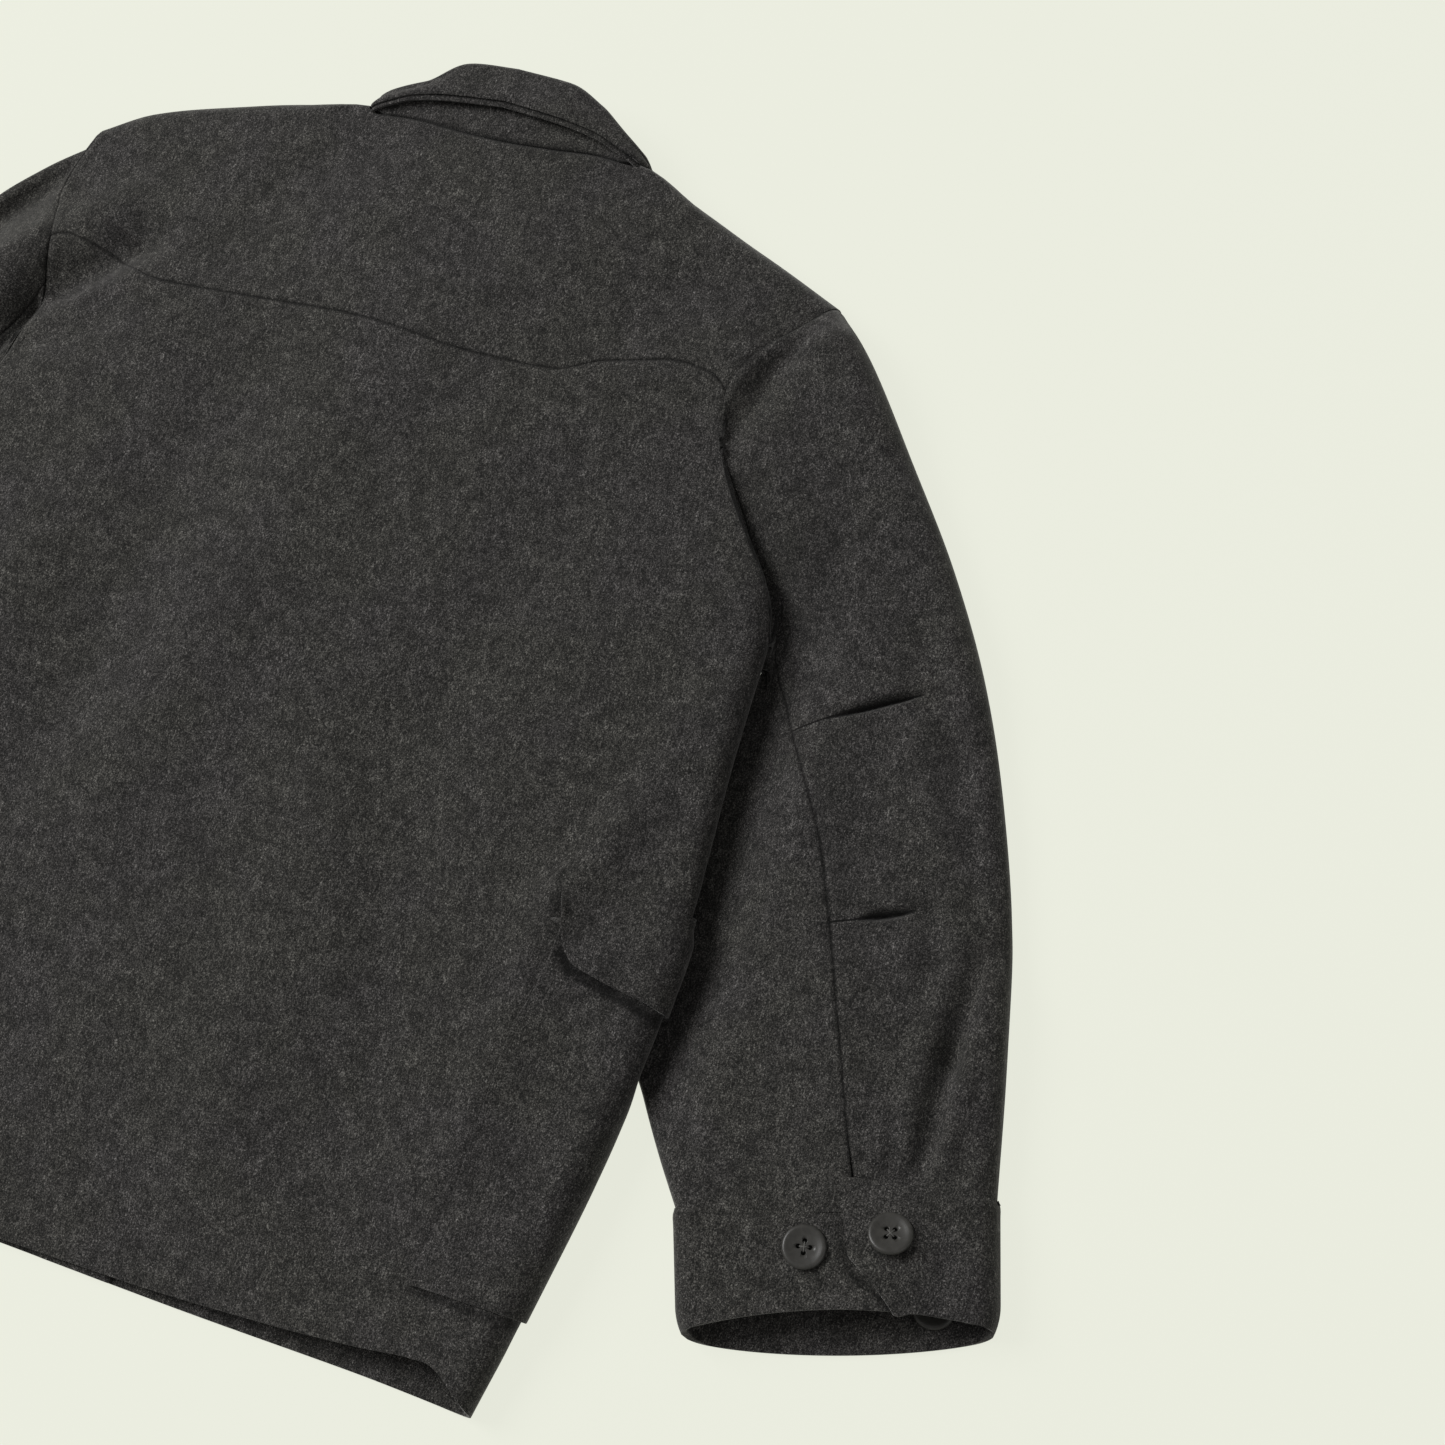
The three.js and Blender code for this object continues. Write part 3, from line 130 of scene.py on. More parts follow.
# The back
# One broad panel of charcoal wool melton, about 2.4 mm thick, fulled and napped so that no weave shows. It is
# cut with its side edges carried on round the side fold, and sewn there to the fronts.
# Places are in millimetres on the laid jacket: x outward from the neck's middle, y up to it from the hem.
CLOTH = 2.4
CENTRE = -5.0
NECK_RIGHT, NECK_LEFT = 90.0, -86.0
SIDE_ROLL = 14.0         # half the width of the side fold's roll
SEAM_UNDER = 10.0        # the side seam lies this far in underneath
ARMPIT_Y = -262.0
# The body's edge: y, then how far out it lies on the right and on the left
EDGE_ROWS = [
    (-705, 231, 243), (-640, 243, 253), (-540, 257, 266), (-440, 263, 272), (-340, 257, 267),
    (-262, 254, 263), (-246, 251, 261), (-228, 242, 257), (-209, 228, 252), (-187, 212, 248),
    (-166, 199, 246), (-146, 190, 247), (-128, 187, 250), (-112, 190, 255), (-94, 199, 259),
    (-79, 212, 258), (-57, 230, 253),
]
# How far round the side fold the seam lies, in degrees, and then on underneath
TURN_ROWS = [(-705, 180), (-342, 180), (-262, 90), (-215, 38), (-170, 0), (-50, 0)]
UNDER_ROWS = [(-705, SEAM_UNDER), (-390, SEAM_UNDER), (-342, 0), (-50, 0)]
# Lines across the body, each from x to y
YOKE_SEAM = [
    (-250, -129), (-240, -125), (-216, -128), (-192, -136), (-173, -141), (-108, -138), (-43, -136),
    (35, -142), (85, -140), (112, -128), (134, -122), (156, -117), (176, -120), (187, -128),
]
HEM_TOP = [(-250, -690), (-60, -694), (17, -694), (106, -691), (162, -687), (201, -683), (231, -700)]
HEM_LOW = [(-250, -692), (-58, -696), (68, -699), (158, -700), (211, -702), (240, -704)]
BACK_NECK = [(-86, -4), (-60, -3), (-20, -6), (3, -7), (34, -5), (65, -2), (90, -4)]
SHOULDER = [
    (-253, -46), (-225, -29), (-176, -14), (-133, -4), (-86, 3), (90, 1), (131, -16), (163, -29),
    (195, -42), (230, -57),
]
# How high the back lies over the table: for each y, at five places from left to right
HEIGHT_X = [-255, -130, 0, 120, 240]
HEIGHT_ROWS = [
    (-700, 16, 9, 9, 18, 28), (-600, 22, 20, 22, 28, 31), (-450, 30, 30, 33, 35, 33),
    (-262, 33, 36, 38, 38, 34), (-140, 31, 37, 40, 38, 31), (-60, 24, 32, 38, 34, 24),
    (10, 20, 26, 33, 27, 20),
]
# Soft folds of the back, each a line from one place to another, with its width and its rise in millimetres
BODY_FOLDS = [
    (-196, -122, -272, -190, 13, -11), (-205, -175, -285, -225, 16, -5), (-214, -95, -275, -150, 15, 4),
    (175, -95, 205, -150, 14, 3), (-98, -185, -128, -360, 34, -5), (-30, -215, -80, -420, 30, 3.5),
    (-125, -400, -160, -500, 28, -4), (100, -420, 122, -560, 30, -5), (45, -420, 40, -600, 30, 3.5),
    (97, -600, 135, -625, 16, -3), (211, -387, 192, -432, 13, 4), (190, -440, 184, -570, 15, 4.5),
    (235, -300, 205, -420, 14, 3), (-190, -330, -220, -560, 26, 4), (120, -220, 70, -380, 30, -4),
    (60, -60, 10, -120, 30, 2.5), (-90, -40, -140, -110, 26, -3), (150, -60, 120, -105, 18, -2.5),
]
LIE_GAP = 0.3
LAYER = CLOTH + LIE_GAP
POCKET_TOP, POCKET_BOTTOM = -446.0, -648.0
FLAP_TOP, FLAP_BOTTOM = -421.0, -474.0
# The pocket's edge on the back, each y with its x
POCKET_BACK = [
    (-648, 179), (-622, 184), (-591, 189), (-544, 190), (-507, 191), (-481, 196), (-458, 198), (-440, 199),
]
POCKET_INNER = 98.0      # on the front, a pocket starts this far from the middle
LEFT_POCKET_OUT = 9.0    # the left-hand pocket and flap lie this much farther out than the right's
LEFT_TIP, LEFT_ARMPIT, LEFT_CUFF = 23.0, 9.0, 14.0      # and so does the left-hand sleeve
TUCK_RISE, PLACKET_RISE, COLLAR_RISE = 11.0, 3.8, 4.2   # what lies under the body lifts it by this
UNEVEN = 0.5             # how strongly the cloth's slow waves show
ROUNDS = 9               # a point's place and its line depend on each other, and settle in this many rounds
# The sleeve's two folds: a share of its length, then the outer fold's x and y and the inner fold's
SLEEVE_ROWS = [
    (0.00, 230, -57, 254, -262), (0.08, 256, -83, 252, -275), (0.20, 298, -137, 249, -302),
    (0.35, 340, -194, 237, -345), (0.50, 376, -254, 230, -390), (0.65, 405, -318, 232, -439),
    (0.80, 430, -388, 245, -489), (0.90, 446, -452, 265, -520), (1.00, 460, -516, 301, -569),
]


SIDES = ((1, "right"), (-1, "left"))


def smooth(t):
    """0 up to 0, 1 from 1 on, and a soft rise between them."""
    t = np.clip(t, 0.0, 1.0)
    return t * t * (3 - 2 * t)


def mix(a, b, t):
    """From a to b by the share t."""
    return a + (b - a) * t


def only_left(side, value):
    """A value that the left-hand side has and the right-hand one hasn't."""
    return 0.0 if side > 0 else value


def face_out(side, grid):
    """A grid made from the right-hand side's columns, turned over on the left so that it faces outwards."""
    return grid if side > 0 else grid[:, ::-1]


def curve(rows, column=1):
    """A smooth line through rows of (place, value, ...) that never overshoots between two of them."""
    table_of = np.array(rows, float)
    places, values = table_of[:, 0], table_of[:, column]
    return lambda place: through(places, [np.full(np.shape(place), value) for value in values], place)


def through(places, values, place):
    """The same line where its values differ from point to point, as the cloth's height does."""
    places = np.asarray(places, float)
    values = np.array(values, float)
    place = np.clip(np.asarray(place, float), places[0], places[-1])
    gaps = np.diff(places).reshape((-1,) + (1,) * (values.ndim - 1))
    steps = np.diff(values, axis=0) / gaps
    both = steps[:-1] * steps[1:]
    total = np.where(both > 0, steps[:-1] + steps[1:], 1.0)
    slopes = np.concatenate([steps[:1], np.where(both > 0, 2 * both / total, 0.0), steps[-1:]])
    i = np.clip(np.searchsorted(places, place, side="left") - 1, 0, len(places) - 2)
    take = lambda table_of, k: np.take_along_axis(table_of, k[None], axis=0)[0]
    span = np.diff(places)[i]
    t = (place - places[i]) / span
    a = (1 + 2 * t) * (1 - t) ** 2
    rest = take(values, i + 1) * (1 - a) - t * t * (1 - t) * span * take(slopes, i + 1)
    return a * take(values, i) + t * (1 - t) ** 2 * span * take(slopes, i) + rest


edge_right, edge_left = curve(EDGE_ROWS, 1), curve(EDGE_ROWS, 2)
turn_at, under_at = curve(TURN_ROWS), curve(UNDER_ROWS)
yoke_seam, hem_top, hem_low = curve(YOKE_SEAM), curve(HEM_TOP), curve(HEM_LOW)
back_neck, shoulder = curve(BACK_NECK), curve(SHOULDER)
heights_at = [curve(HEIGHT_ROWS, column + 1) for column in range(len(HEIGHT_X))]
inner_by_y = curve([(row[4], row[3]) for row in reversed(SLEEVE_ROWS)])


def edge(side, y):
    """How far out the body's edge lies."""
    return np.where(side > 0, edge_right(y), edge_left(y))


def from_line(x, y, x0, y0, x1, y1):
    """How far along a line a place lies, how far beside it, and the line's length."""
    length = math.hypot(x1 - x0, y1 - y0)
    along = ((x - x0) * (x1 - x0) + (y - y0) * (y1 - y0)) / length
    return along, ((x - x0) * (y1 - y0) - (y - y0) * (x1 - x0)) / length, length


def folds(table_of, x, y):
    """How far soft folds raise or sink the cloth."""
    rise = 0.0
    for x0, y0, x1, y1, width, high in table_of:
        along, aside, length = from_line(x, y, x0, y0, x1, y1)
        past = np.maximum(0, np.maximum(-along, along - length))
        rise = rise + high * np.exp(-((aside / width) ** 2) - (past / (1.4 * width)) ** 2)
    return rise


def waves(x, y):
    """Slight unevenness of laid cloth, from a few slow waves that cross."""
    return (
        0.5 * np.sin(x / 23.0 + y / 31.0 + 0.7) + 0.45 * np.sin(x / 17.0 - y / 38.0 + 2.1)
        + 0.35 * np.sin(-x / 29.0 + y / 13.0 + 4.0) + 0.25 * np.sin(x / 9.5 + y / 14.0 + 1.3)
    )


def top(x, y):
    """How high the back's face lies."""
    flat = through(HEIGHT_X, [height(y) for height in heights_at], x)
    return flat + folds(BODY_FOLDS, x, y)


def patch(x, y, box, margin):
    """1 inside a box of x and y, falling off softly around it."""
    out_x = np.maximum(np.maximum(box[0] - x, x - box[1]), 0)
    out_y = np.maximum(np.maximum(box[2] - y, y - box[3]), 0)
    return 1 - smooth(np.hypot(out_x, out_y) / margin)


def inner_fold(side, y):
    """Where a sleeve's inner fold lies under the body."""
    shift = np.where(side > 0, 0.0, mix(LEFT_ARMPIT, LEFT_CUFF, np.clip((ARMPIT_Y - y) / 300, 0, 1)))
    return inner_by_y(y) + shift


def bottom(x, y):
    """The lower layer lifts over the sleeves, pockets, flaps, collar and buttons that lie under it."""
    side = np.where(x > 0, 1, -1)
    out = side * x
    tuck_y = smooth((ARMPIT_Y + 34 - y) / 30) * smooth((y + 545) / 34)
    tuck = TUCK_RISE * smooth((out - (inner_fold(side, y) - 30)) / 22) * tuck_y
    pocket = LAYER * patch(out, y, (POCKET_INNER, 400, POCKET_BOTTOM - 2, POCKET_TOP + 24), 22)
    flap = LAYER * patch(out, y, (POCKET_INNER, 400, FLAP_BOTTOM - 4, FLAP_TOP + 28), 22)
    placket = PLACKET_RISE * (1 - smooth((np.abs(x - CENTRE) - 32) / 30)) * smooth((y + 680) / 60)
    collar = COLLAR_RISE * patch(x, y, (-132, 136, -132, 60), 40)
    return tuck + pocket + flap + np.maximum(placket * smooth((-70 - y) / 30), collar)


def section(side, y):
    """The body's side at one y: the seam's turn, where the fold starts, its top, its bottom and its roll."""
    angle = np.radians(turn_at(y))
    start = edge(side, y) - SIDE_ROLL * np.sin(np.minimum(angle, math.pi / 2))
    high, low = top(side * start, y), bottom(side * start, y)
    half = (high - low) / 2
    return angle, start, high, low, half, (SIDE_ROLL + half) / 2


def body_point(side, y, distance, above=True):
    """A point of the body, by its distance outwards from where the side fold starts, and on round it."""
    _, start, high, low, half, per_radian = section(side, y)
    middle, reach = (high + low) / 2, math.pi * per_radian
    first, second, up = (top, bottom, 1) if above else (bottom, top, -1)
    phi = np.clip(distance / per_radian, 0, math.pi)
    x0 = side * (start + distance)
    x1 = side * (start + SIDE_ROLL * np.sin(phi))
    x2 = side * (start - (distance - reach))
    x = np.where(distance <= 0, x0, np.where(distance <= reach, x1, x2))
    round_fold = middle + up * half * np.cos(phi)
    z = np.where(distance <= 0, first(x0, y), np.where(distance <= reach, round_fold, second(x2, y)))
    return x, z


def seam_place(side, y, above):
    """How far round the side fold the seam lies, from above or from underneath."""
    angle, _, _, _, _, per_radian = section(side, y)
    if above:
        return angle * per_radian + under_at(y)
    return np.where(y > ARMPIT_Y, angle * per_radian, (math.pi - angle) * per_radian - under_at(y))


# Columns of the panels' grids: close together along each side edge, then evenly to the middle
NEAR_LAST = 118.0
near_places = np.concatenate([
    [0, 0.7, 1.5, 2.6, 4, 5.5, 7, 8.5, 10, 12], np.arange(15, 60, 3.0), np.linspace(62, NEAR_LAST, 16),
])
between = np.linspace(0, 1, 12)[1:]
neck_places = np.linspace(0, 1, 50)[1:-1]
near_count, between_count, neck_count = len(near_places), len(between), len(neck_places)
outer_count = near_count + between_count
column_side = np.repeat([-1.0, 1.0], [outer_count, neck_count + outer_count])
column_near = [near_places, np.full(2 * between_count + neck_count, NEAR_LAST), near_places[::-1]]
column_near = np.concatenate(column_near)
at_side = np.zeros(near_count)
column_between = np.concatenate([at_side, between, np.ones(neck_count), between[::-1], at_side])
column_neck = np.concatenate([np.zeros(outer_count), neck_places, np.ones(outer_count)])
# 0 beside an edge, 1 between there and the neck, 2 within the neck
column_kind = np.repeat([0, 1, 2, 1, 0], [near_count, between_count, neck_count, between_count, near_count])
FIRST_NECK = outer_count - 1
LAST_NECK = FIRST_NECK + neck_count + 1


def near_scale(y):
    """The columns close up towards the shoulder, where the panels narrow."""
    return mix(1.0, 0.5, smooth((y + 330) / 120))


def upper_grid(y_rule, count):
    """Points of the upper layer. y_rule gives a point's y from its x and from how far it has turned under."""
    shape = (count, len(column_kind))
    columns = (column_side, column_near, column_between, column_neck, column_kind)
    side, near, share, neck, kind = (np.broadcast_to(row, shape) for row in columns)
    y = y_rule(np.zeros(shape), np.zeros(shape))
    for _ in range(ROUNDS):
        place = seam_place(side, y, True)
        x, z = body_point(side, y, place - near * near_scale(y))
        neck_x = np.where(side > 0, NECK_RIGHT, NECK_LEFT)
        in_neck = mix(NECK_LEFT, NECK_RIGHT, neck)
        x = np.where(kind == 1, mix(x, neck_x, share), np.where(kind == 2, in_neck, x))
        z = np.where(kind == 0, z, top(x, y))
        _, start, high, low, _, _ = section(side, y)
        lowness = smooth((high - z) / np.maximum(high - low, 1))
        y = y_rule(x, np.where(np.abs(x) > start - 30, lowness, 0.0))
    return np.stack([x, y, z], axis=2)


SEAM_STEPS = np.array([0, 0.7, 1.6, 3, 5])      # rows and columns lie close together where a seam rolls in


def close_ends(length, step):
    """Shares of a length, a step apart, and closer near both ends."""
    steps = np.arange(SEAM_STEPS[-1] + step, length - SEAM_STEPS[-1] - step / 2, step)
    return np.concatenate([SEAM_STEPS, steps, length - SEAM_STEPS[::-1]]) / length


def outward(points):
    """The way the cloth's outer face looks at each point."""
    normal = np.cross(np.gradient(points, axis=1), np.gradient(points, axis=0))
    return normal / np.maximum(np.linalg.norm(normal, axis=2, keepdims=True), 1e-9)


def from_edge(points, side):
    """Each point's distance over the cloth from one edge of its grid: low, high, left or right."""
    axis = 0 if side in ("low", "high") else 1
    ordered = points if side in ("low", "left") else np.flip(points, axis)
    steps = np.linalg.norm(np.diff(ordered, axis=axis), axis=2)
    runs = np.cumsum(steps, axis=axis)
    runs = np.concatenate([np.zeros_like(np.take(runs, [0], axis)), runs], axis=axis)
    return runs if side in ("low", "left") else np.flip(runs, axis)


def rolled(points, sides, depth=0.5, reach=1.3, stitch=None, among=1.0, dark=1.0):
    """Rolls the cloth in at its seams, with a stitched groove beside them; each point gets painted shade,
    darkest right in a seam and a little along its stitching.
    """
    sunk = np.zeros(points.shape[:2])
    painted_shade = np.zeros(points.shape[:2])
    for side in sides:
        away = from_edge(points, side)
        sunk += among * (depth * np.exp(-((away / reach) ** 2)) - 0.15 * np.exp(-(((away - 4.5) / 2.4) ** 2)))
        painted_shade = np.maximum(painted_shade, among * dark * np.exp(-((away / 1.15) ** 2)))
        if stitch:
            sunk += among * 0.4 * np.exp(-(((away - stitch) / 1.5) ** 2))
            painted_shade = np.maximum(painted_shade, among * 0.2 * np.exp(-(((away - stitch) / 1.1) ** 2)))
    return np.concatenate([points - outward(points) * sunk[..., None], painted_shade[..., None]], axis=2)


def plain(points):
    """Points of cloth with no painted shade anywhere."""
    return np.concatenate([points, np.zeros(points.shape[:2] + (1,))], axis=2)


def beside(x, y, line, width, much):
    """Painted shade on the cloth close under an edge that lies over it, along a line of (x, y) places."""
    near = np.full(np.shape(x), 1e9)
    for (x0, y0), (x1, y1) in zip(line, line[1:]):
        along, aside, length = from_line(x, y, x0, y0, x1, y1)
        near = np.minimum(near, np.hypot(np.maximum(0, np.maximum(-along, along - length)), aside))
    return much * np.exp(-((near / width) ** 2))


def shaded(points, side, shift, *lines):
    """Points with the painted shade of edges that lie over them. A line is its places, its width and its
    depth.
    """
    out = side * points[..., 0] - shift
    for line, width, much in lines:
        points[..., 3] = np.maximum(points[..., 3], beside(out, points[..., 1], line, width, much))
    return points


wool = bpy.data.materials.new("charcoal_wool_melton")
wool.use_nodes = True
nodes, links = wool.node_tree.nodes, wool.node_tree.links
woolly = nodes["Principled BSDF"]
woolly.inputs["Roughness"].default_value = 0.95
woolly.inputs["Specular IOR Level"].default_value = 0.15
woolly.inputs["Sheen Weight"].default_value = 0.22
woolly.inputs["Sheen Roughness"].default_value = 0.45
woolly.inputs["Sheen Tint"].default_value = (0.75, 0.74, 0.72, 1)
where = nodes.new("ShaderNodeTexCoord")


def wool_noise(scale, detail, stretch=(1, 1, 1), turn=0.0, distortion=0.0):
    """Fleck, blur or fibre of the napped face, in the piece's own coordinates."""
    mapping = nodes.new("ShaderNodeMapping")
    mapping.inputs["Rotation"].default_value = (0, 0, turn)
    mapping.inputs["Scale"].default_value = stretch
    noise = nodes.new("ShaderNodeTexNoise")
    noise.inputs["Scale"].default_value = scale
    noise.inputs["Detail"].default_value = detail
    noise.inputs["Roughness"].default_value = 0.6
    noise.inputs["Distortion"].default_value = distortion
    links.new(where.outputs["Object"], mapping.inputs["Vector"])
    links.new(mapping.outputs["Vector"], noise.inputs["Vector"])
    return noise.outputs["Fac"]


def worked(how, *values):
    """A sum on numbers and sockets."""
    node = nodes.new("ShaderNodeMath")
    node.operation = how
    for value, socket in zip(values, node.inputs):
        if isinstance(value, (int, float)):
            socket.default_value = value
        else:
            links.new(value, socket)
    return node.outputs[0]


# the nap: pale fibres that lie three ways, with fine flecks, a slight blur of the shade and a broad cast
fibres = [wool_noise(490, 3, stretch=(1, 0.38, 1), turn=angle, distortion=2.2) for angle in (0.2, 1.25, 2.3)]
fibre = worked("MAXIMUM", worked("MAXIMUM", fibres[0], fibres[1]), fibres[2])
fleck = wool_noise(1300, 2, distortion=0.6)
blur = wool_noise(110, 3)
cast = wool_noise(16, 2)
mottle = worked("MULTIPLY", worked("ADD", fibre, fleck), 0.5)
shades = nodes.new("ShaderNodeValToRGB")
links.new(mottle, shades.inputs["Fac"])
stops = shades.color_ramp.elements
stops[0].position, stops[0].color = 0.472, (0.0085, 0.0085, 0.0082, 1)
stops[1].position, stops[1].color = 0.70, (0.190, 0.186, 0.178, 1)
for position, colour in ((0.543, (0.030, 0.0292, 0.0278, 1)), (0.60, (0.066, 0.0642, 0.0610, 1))):
    stops.new(position).color = colour


def tinted(before, amount, factor, low, high, low_colour, high_colour):
    """Multiplies a colour by two others, one where amount is low and one where it is high."""
    ramp = nodes.new("ShaderNodeValToRGB")
    links.new(amount, ramp.inputs["Fac"])
    ends = ramp.color_ramp.elements
    ends[0].position, ends[0].color = low, low_colour
    ends[1].position, ends[1].color = high, high_colour
    node = nodes.new("ShaderNodeMix")
    node.data_type = "RGBA"
    node.blend_type = "MULTIPLY"
    node.inputs["Factor"].default_value = factor
    links.new(before, node.inputs["A"])
    links.new(ramp.outputs["Color"], node.inputs["B"])
    return node.outputs["Result"]


# Painted shade: the cloth's own vertex attribute darkens its colour to about a fifth where shade would fall,
# in seams, under overlying edges and in hidden turns.
painted_shade_attribute = nodes.new("ShaderNodeAttribute")
painted_shade_attribute.attribute_name = "painted_shade"
colour = shades.outputs["Color"]
for amount, factor, low, high, low_colour, high_colour in (
    (blur, 0.75, 0.38, 0.62, (0.62, 0.62, 0.62, 1), (1.18, 1.18, 1.18, 1)),
    (cast, 0.7, 0.40, 0.60, (0.985, 0.95, 0.97, 1), (1.0, 0.99, 0.925, 1)),
    (painted_shade_attribute.outputs["Fac"], 1.0, 0.1, 1.0, (1, 1, 1, 1), (0.22, 0.22, 0.22, 1)),
):
    colour = tinted(colour, amount, factor, low, high, low_colour, high_colour)
links.new(colour, woolly.inputs["Base Color"])
nap = nodes.new("ShaderNodeBump")
nap.inputs["Strength"].default_value = 0.55
nap.inputs["Distance"].default_value = 0.0006
links.new(mottle, nap.inputs["Height"])
links.new(nap.outputs["Normal"], woolly.inputs["Normal"])


def cloth(name, *layers, flat, area, lies_on, replaces, thickness=CLOTH, keep=None, look=wool):
    """A piece of cloth from grids of its outer face's points, each with the painted shade it carries.

    flat, the width and length of its cut in metres, and area, the cut's own area, are not used. keep tells
    which of the grid's faces are cloth.
    """
    bm = bmesh.new()
    painted_shade = bm.verts.layers.float.new("painted_shade")
    for points in layers:
        rows, columns = points.shape[:2]
        made = bmesh.ops.create_grid(bm, x_segments=columns - 1, y_segments=rows - 1, size=1.0)
        places = ((points[..., :3] - LAID_MIDDLE) * MM).reshape(-1, 3)
        for vert, place, much in zip(made["verts"], places, points[..., 3].reshape(-1)):
            vert.co = place
            vert[painted_shade] = much
    if keep is not None:
        bm.faces.ensure_lookup_table()
        gone = [face for face, kept in zip(bm.faces, keep.reshape(-1)) if not kept]
        bmesh.ops.delete(bm, geom=gone, context="FACES")
    for face in bm.faces:
        face.smooth = True
    mesh = bpy.data.meshes.new(name)
    bm.to_mesh(mesh)
    bm.free()
    mesh.materials.append(look)
    piece = bpy.data.objects.new(name, mesh)
    bpy.context.collection.objects.link(piece)
    wall = piece.modifiers.new("thickness", "SOLIDIFY")
    wall.thickness = thickness * MM
    wall.offset = -1.0
    rounding = piece.modifiers.new("soft_edges", "BEVEL")
    rounding.width = 0.8 * MM
    rounding.segments = 2
    rounding.limit_method = "ANGLE"
    rounding.angle_limit = math.radians(55)
    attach(piece, "root")
    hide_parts(replaces)
    return piece


HEM_Y, YOKE_END_Y = -700.0, -128.0
STITCH_IN = 7.8          # the topstitching's distance from a seam
back_shares = close_ends(YOKE_END_Y - HEM_Y, 3.2)
hem_y = lambda x, low: mix(hem_top(x), hem_low(x), low)
back_points = upper_grid(
    lambda x, low: mix(hem_y(x, low), yoke_seam(x), back_shares[:, None]), len(back_shares)
)
back_points[..., 2] += waves(back_points[..., 0], back_points[..., 1]) * UNEVEN
armhole_part = smooth((back_points[..., 1] - ARMPIT_Y + 8) / 16)
back_shown = rolled(back_points, ["high"])
back_sides = rolled(back_shown[..., :3], ["left", "right"], stitch=STITCH_IN, among=armhole_part)
back_shown[..., :3] = back_sides[..., :3]
# where the flaps and pockets lie over the back, their edges' shade is painted on it
FLAP_END, FLAP_CORNER = [(189, -417), (193, -428), (193.5, -440)], [(193.5, -436), (196, -462)]
POCKET_SIDE = [(199, -458), *((x, y) for y, x in reversed(POCKET_BACK[:-2]))]
POCKET_FOOT_LINE = [(179, -650), (243, -652)]
for side, _ in SIDES:
    back_shown = shaded(
        back_shown, side, only_left(side, LEFT_POCKET_OUT), (FLAP_END, 2.6, 0.8), (FLAP_CORNER, 2.6, 0.45),
        (POCKET_SIDE, 2.0, 0.3), (POCKET_FOOT_LINE, 2.6, 0.85),
    )
cloth(
    "back_panel", back_shown, flat=(0.58, 0.57), area=0.312, replaces="back",
    lies_on=["front_panel_right", "front_panel_left"],
)

# The yoke
# The shoulder piece, of the same melton, seamed to the back in a shaped line. It turns over both shoulders
# and ends at a seam on the fronts. Its armhole edges are topstitched.
FRONT_YOKE_DROP = 45.0   # how far down the fronts it reaches
FRONT_NECK_DROP = 84.0
NECK_TOP = -4.0
NECK_CURVE = 2.4         # the power of the front neckline's curve
yoke_shares = close_ends(130, 3.2)
fold_angles = np.linspace(0, 180, 13)[1:]
strap_drops = FRONT_YOKE_DROP * np.linspace(0, 1, 10)[1:]


def shoulder_roll(x):
    """How far the shoulder's fold bulges: less beside the neck."""
    return mix(4.0, 12.0, smooth((np.abs(x) - 88) / 60))


def yoke_top(x):
    """Where the yoke's upper layer ends: at the neck seam, or where the shoulder starts to turn over."""
    in_neck = (x > NECK_LEFT + 0.5) & (x < NECK_RIGHT - 0.5)
    return np.where(in_neck, back_neck(x), shoulder(x) - shoulder_roll(x))


def front_neck_y(x):
    """The front neckline, and the same line the other way round."""
    reach = np.clip(np.abs(x) / np.where(x > 0, NECK_RIGHT, -NECK_LEFT), 0, 1)
    return NECK_TOP - FRONT_NECK_DROP * (1 - reach ** NECK_CURVE)


def front_neck_x(side, y):
    share = np.clip((y - NECK_TOP) / FRONT_NECK_DROP + 1, 0, 1)
    return np.where(side > 0, NECK_RIGHT, -NECK_LEFT) * share ** (1 / NECK_CURVE)


def strap_row(angle, drop):
    """One line across both shoulders, on the fold or below it on the front."""
    side, near, share = column_side, column_near, column_between
    y = np.full(side.shape, -60.0)
    for _ in range(ROUNDS):
        neck = front_neck_x(side, y) if drop > 0 else np.where(side > 0, NECK_RIGHT, -NECK_LEFT)
        at_edge = edge(side, y) - near * near_scale(y)
        to_neck = mix(edge(side, y) - NEAR_LAST * near_scale(y), neck, share)
        out = np.where(column_kind == 0, at_edge, to_neck)
        roll = shoulder_roll(out)
        y = shoulder(side * out) - roll + roll * math.sin(angle) - drop
    x = side * out
    start_y = shoulder(x) - shoulder_roll(out)
    share_up = (1 + math.cos(angle)) / 2
    z = bottom(x, y) if drop > 0 else mix(bottom(x, start_y), top(x, start_y), share_up)
    return np.stack([x, y, z], axis=1)


yoke_main = upper_grid(
    lambda x, low: mix(yoke_seam(x), yoke_top(x), yoke_shares[:, None]), len(yoke_shares)
)
yoke_main[..., 2] += waves(yoke_main[..., 0], yoke_main[..., 1]) * UNEVEN
fold_rows = [strap_row(math.radians(angle), 0) for angle in fold_angles]
strap_rows = fold_rows + [strap_row(math.pi, drop) for drop in strap_drops]
yoke_points = np.concatenate([yoke_main, np.array(strap_rows)])
yoke_keep = np.ones((yoke_points.shape[0] - 1, yoke_points.shape[1] - 1), bool)
yoke_keep[len(yoke_shares) - 1:, FIRST_NECK:LAST_NECK] = False
yoke_shown = rolled(yoke_main, ["low"])
neck_part = 1 - smooth((np.abs(yoke_main[..., 0]) - 76) / 10)
neck_groove = rolled(yoke_shown[..., :3], ["high"], depth=1.0, among=neck_part)
yoke_shown = np.concatenate([neck_groove[..., :3], np.maximum(neck_groove, yoke_shown)[..., 3:]], axis=2)
yoke_shown[..., :3] = rolled(yoke_shown[..., :3], ["left", "right"], stitch=STITCH_IN)[..., :3]
yoke_shown = np.concatenate([yoke_shown, plain(np.array(strap_rows))])
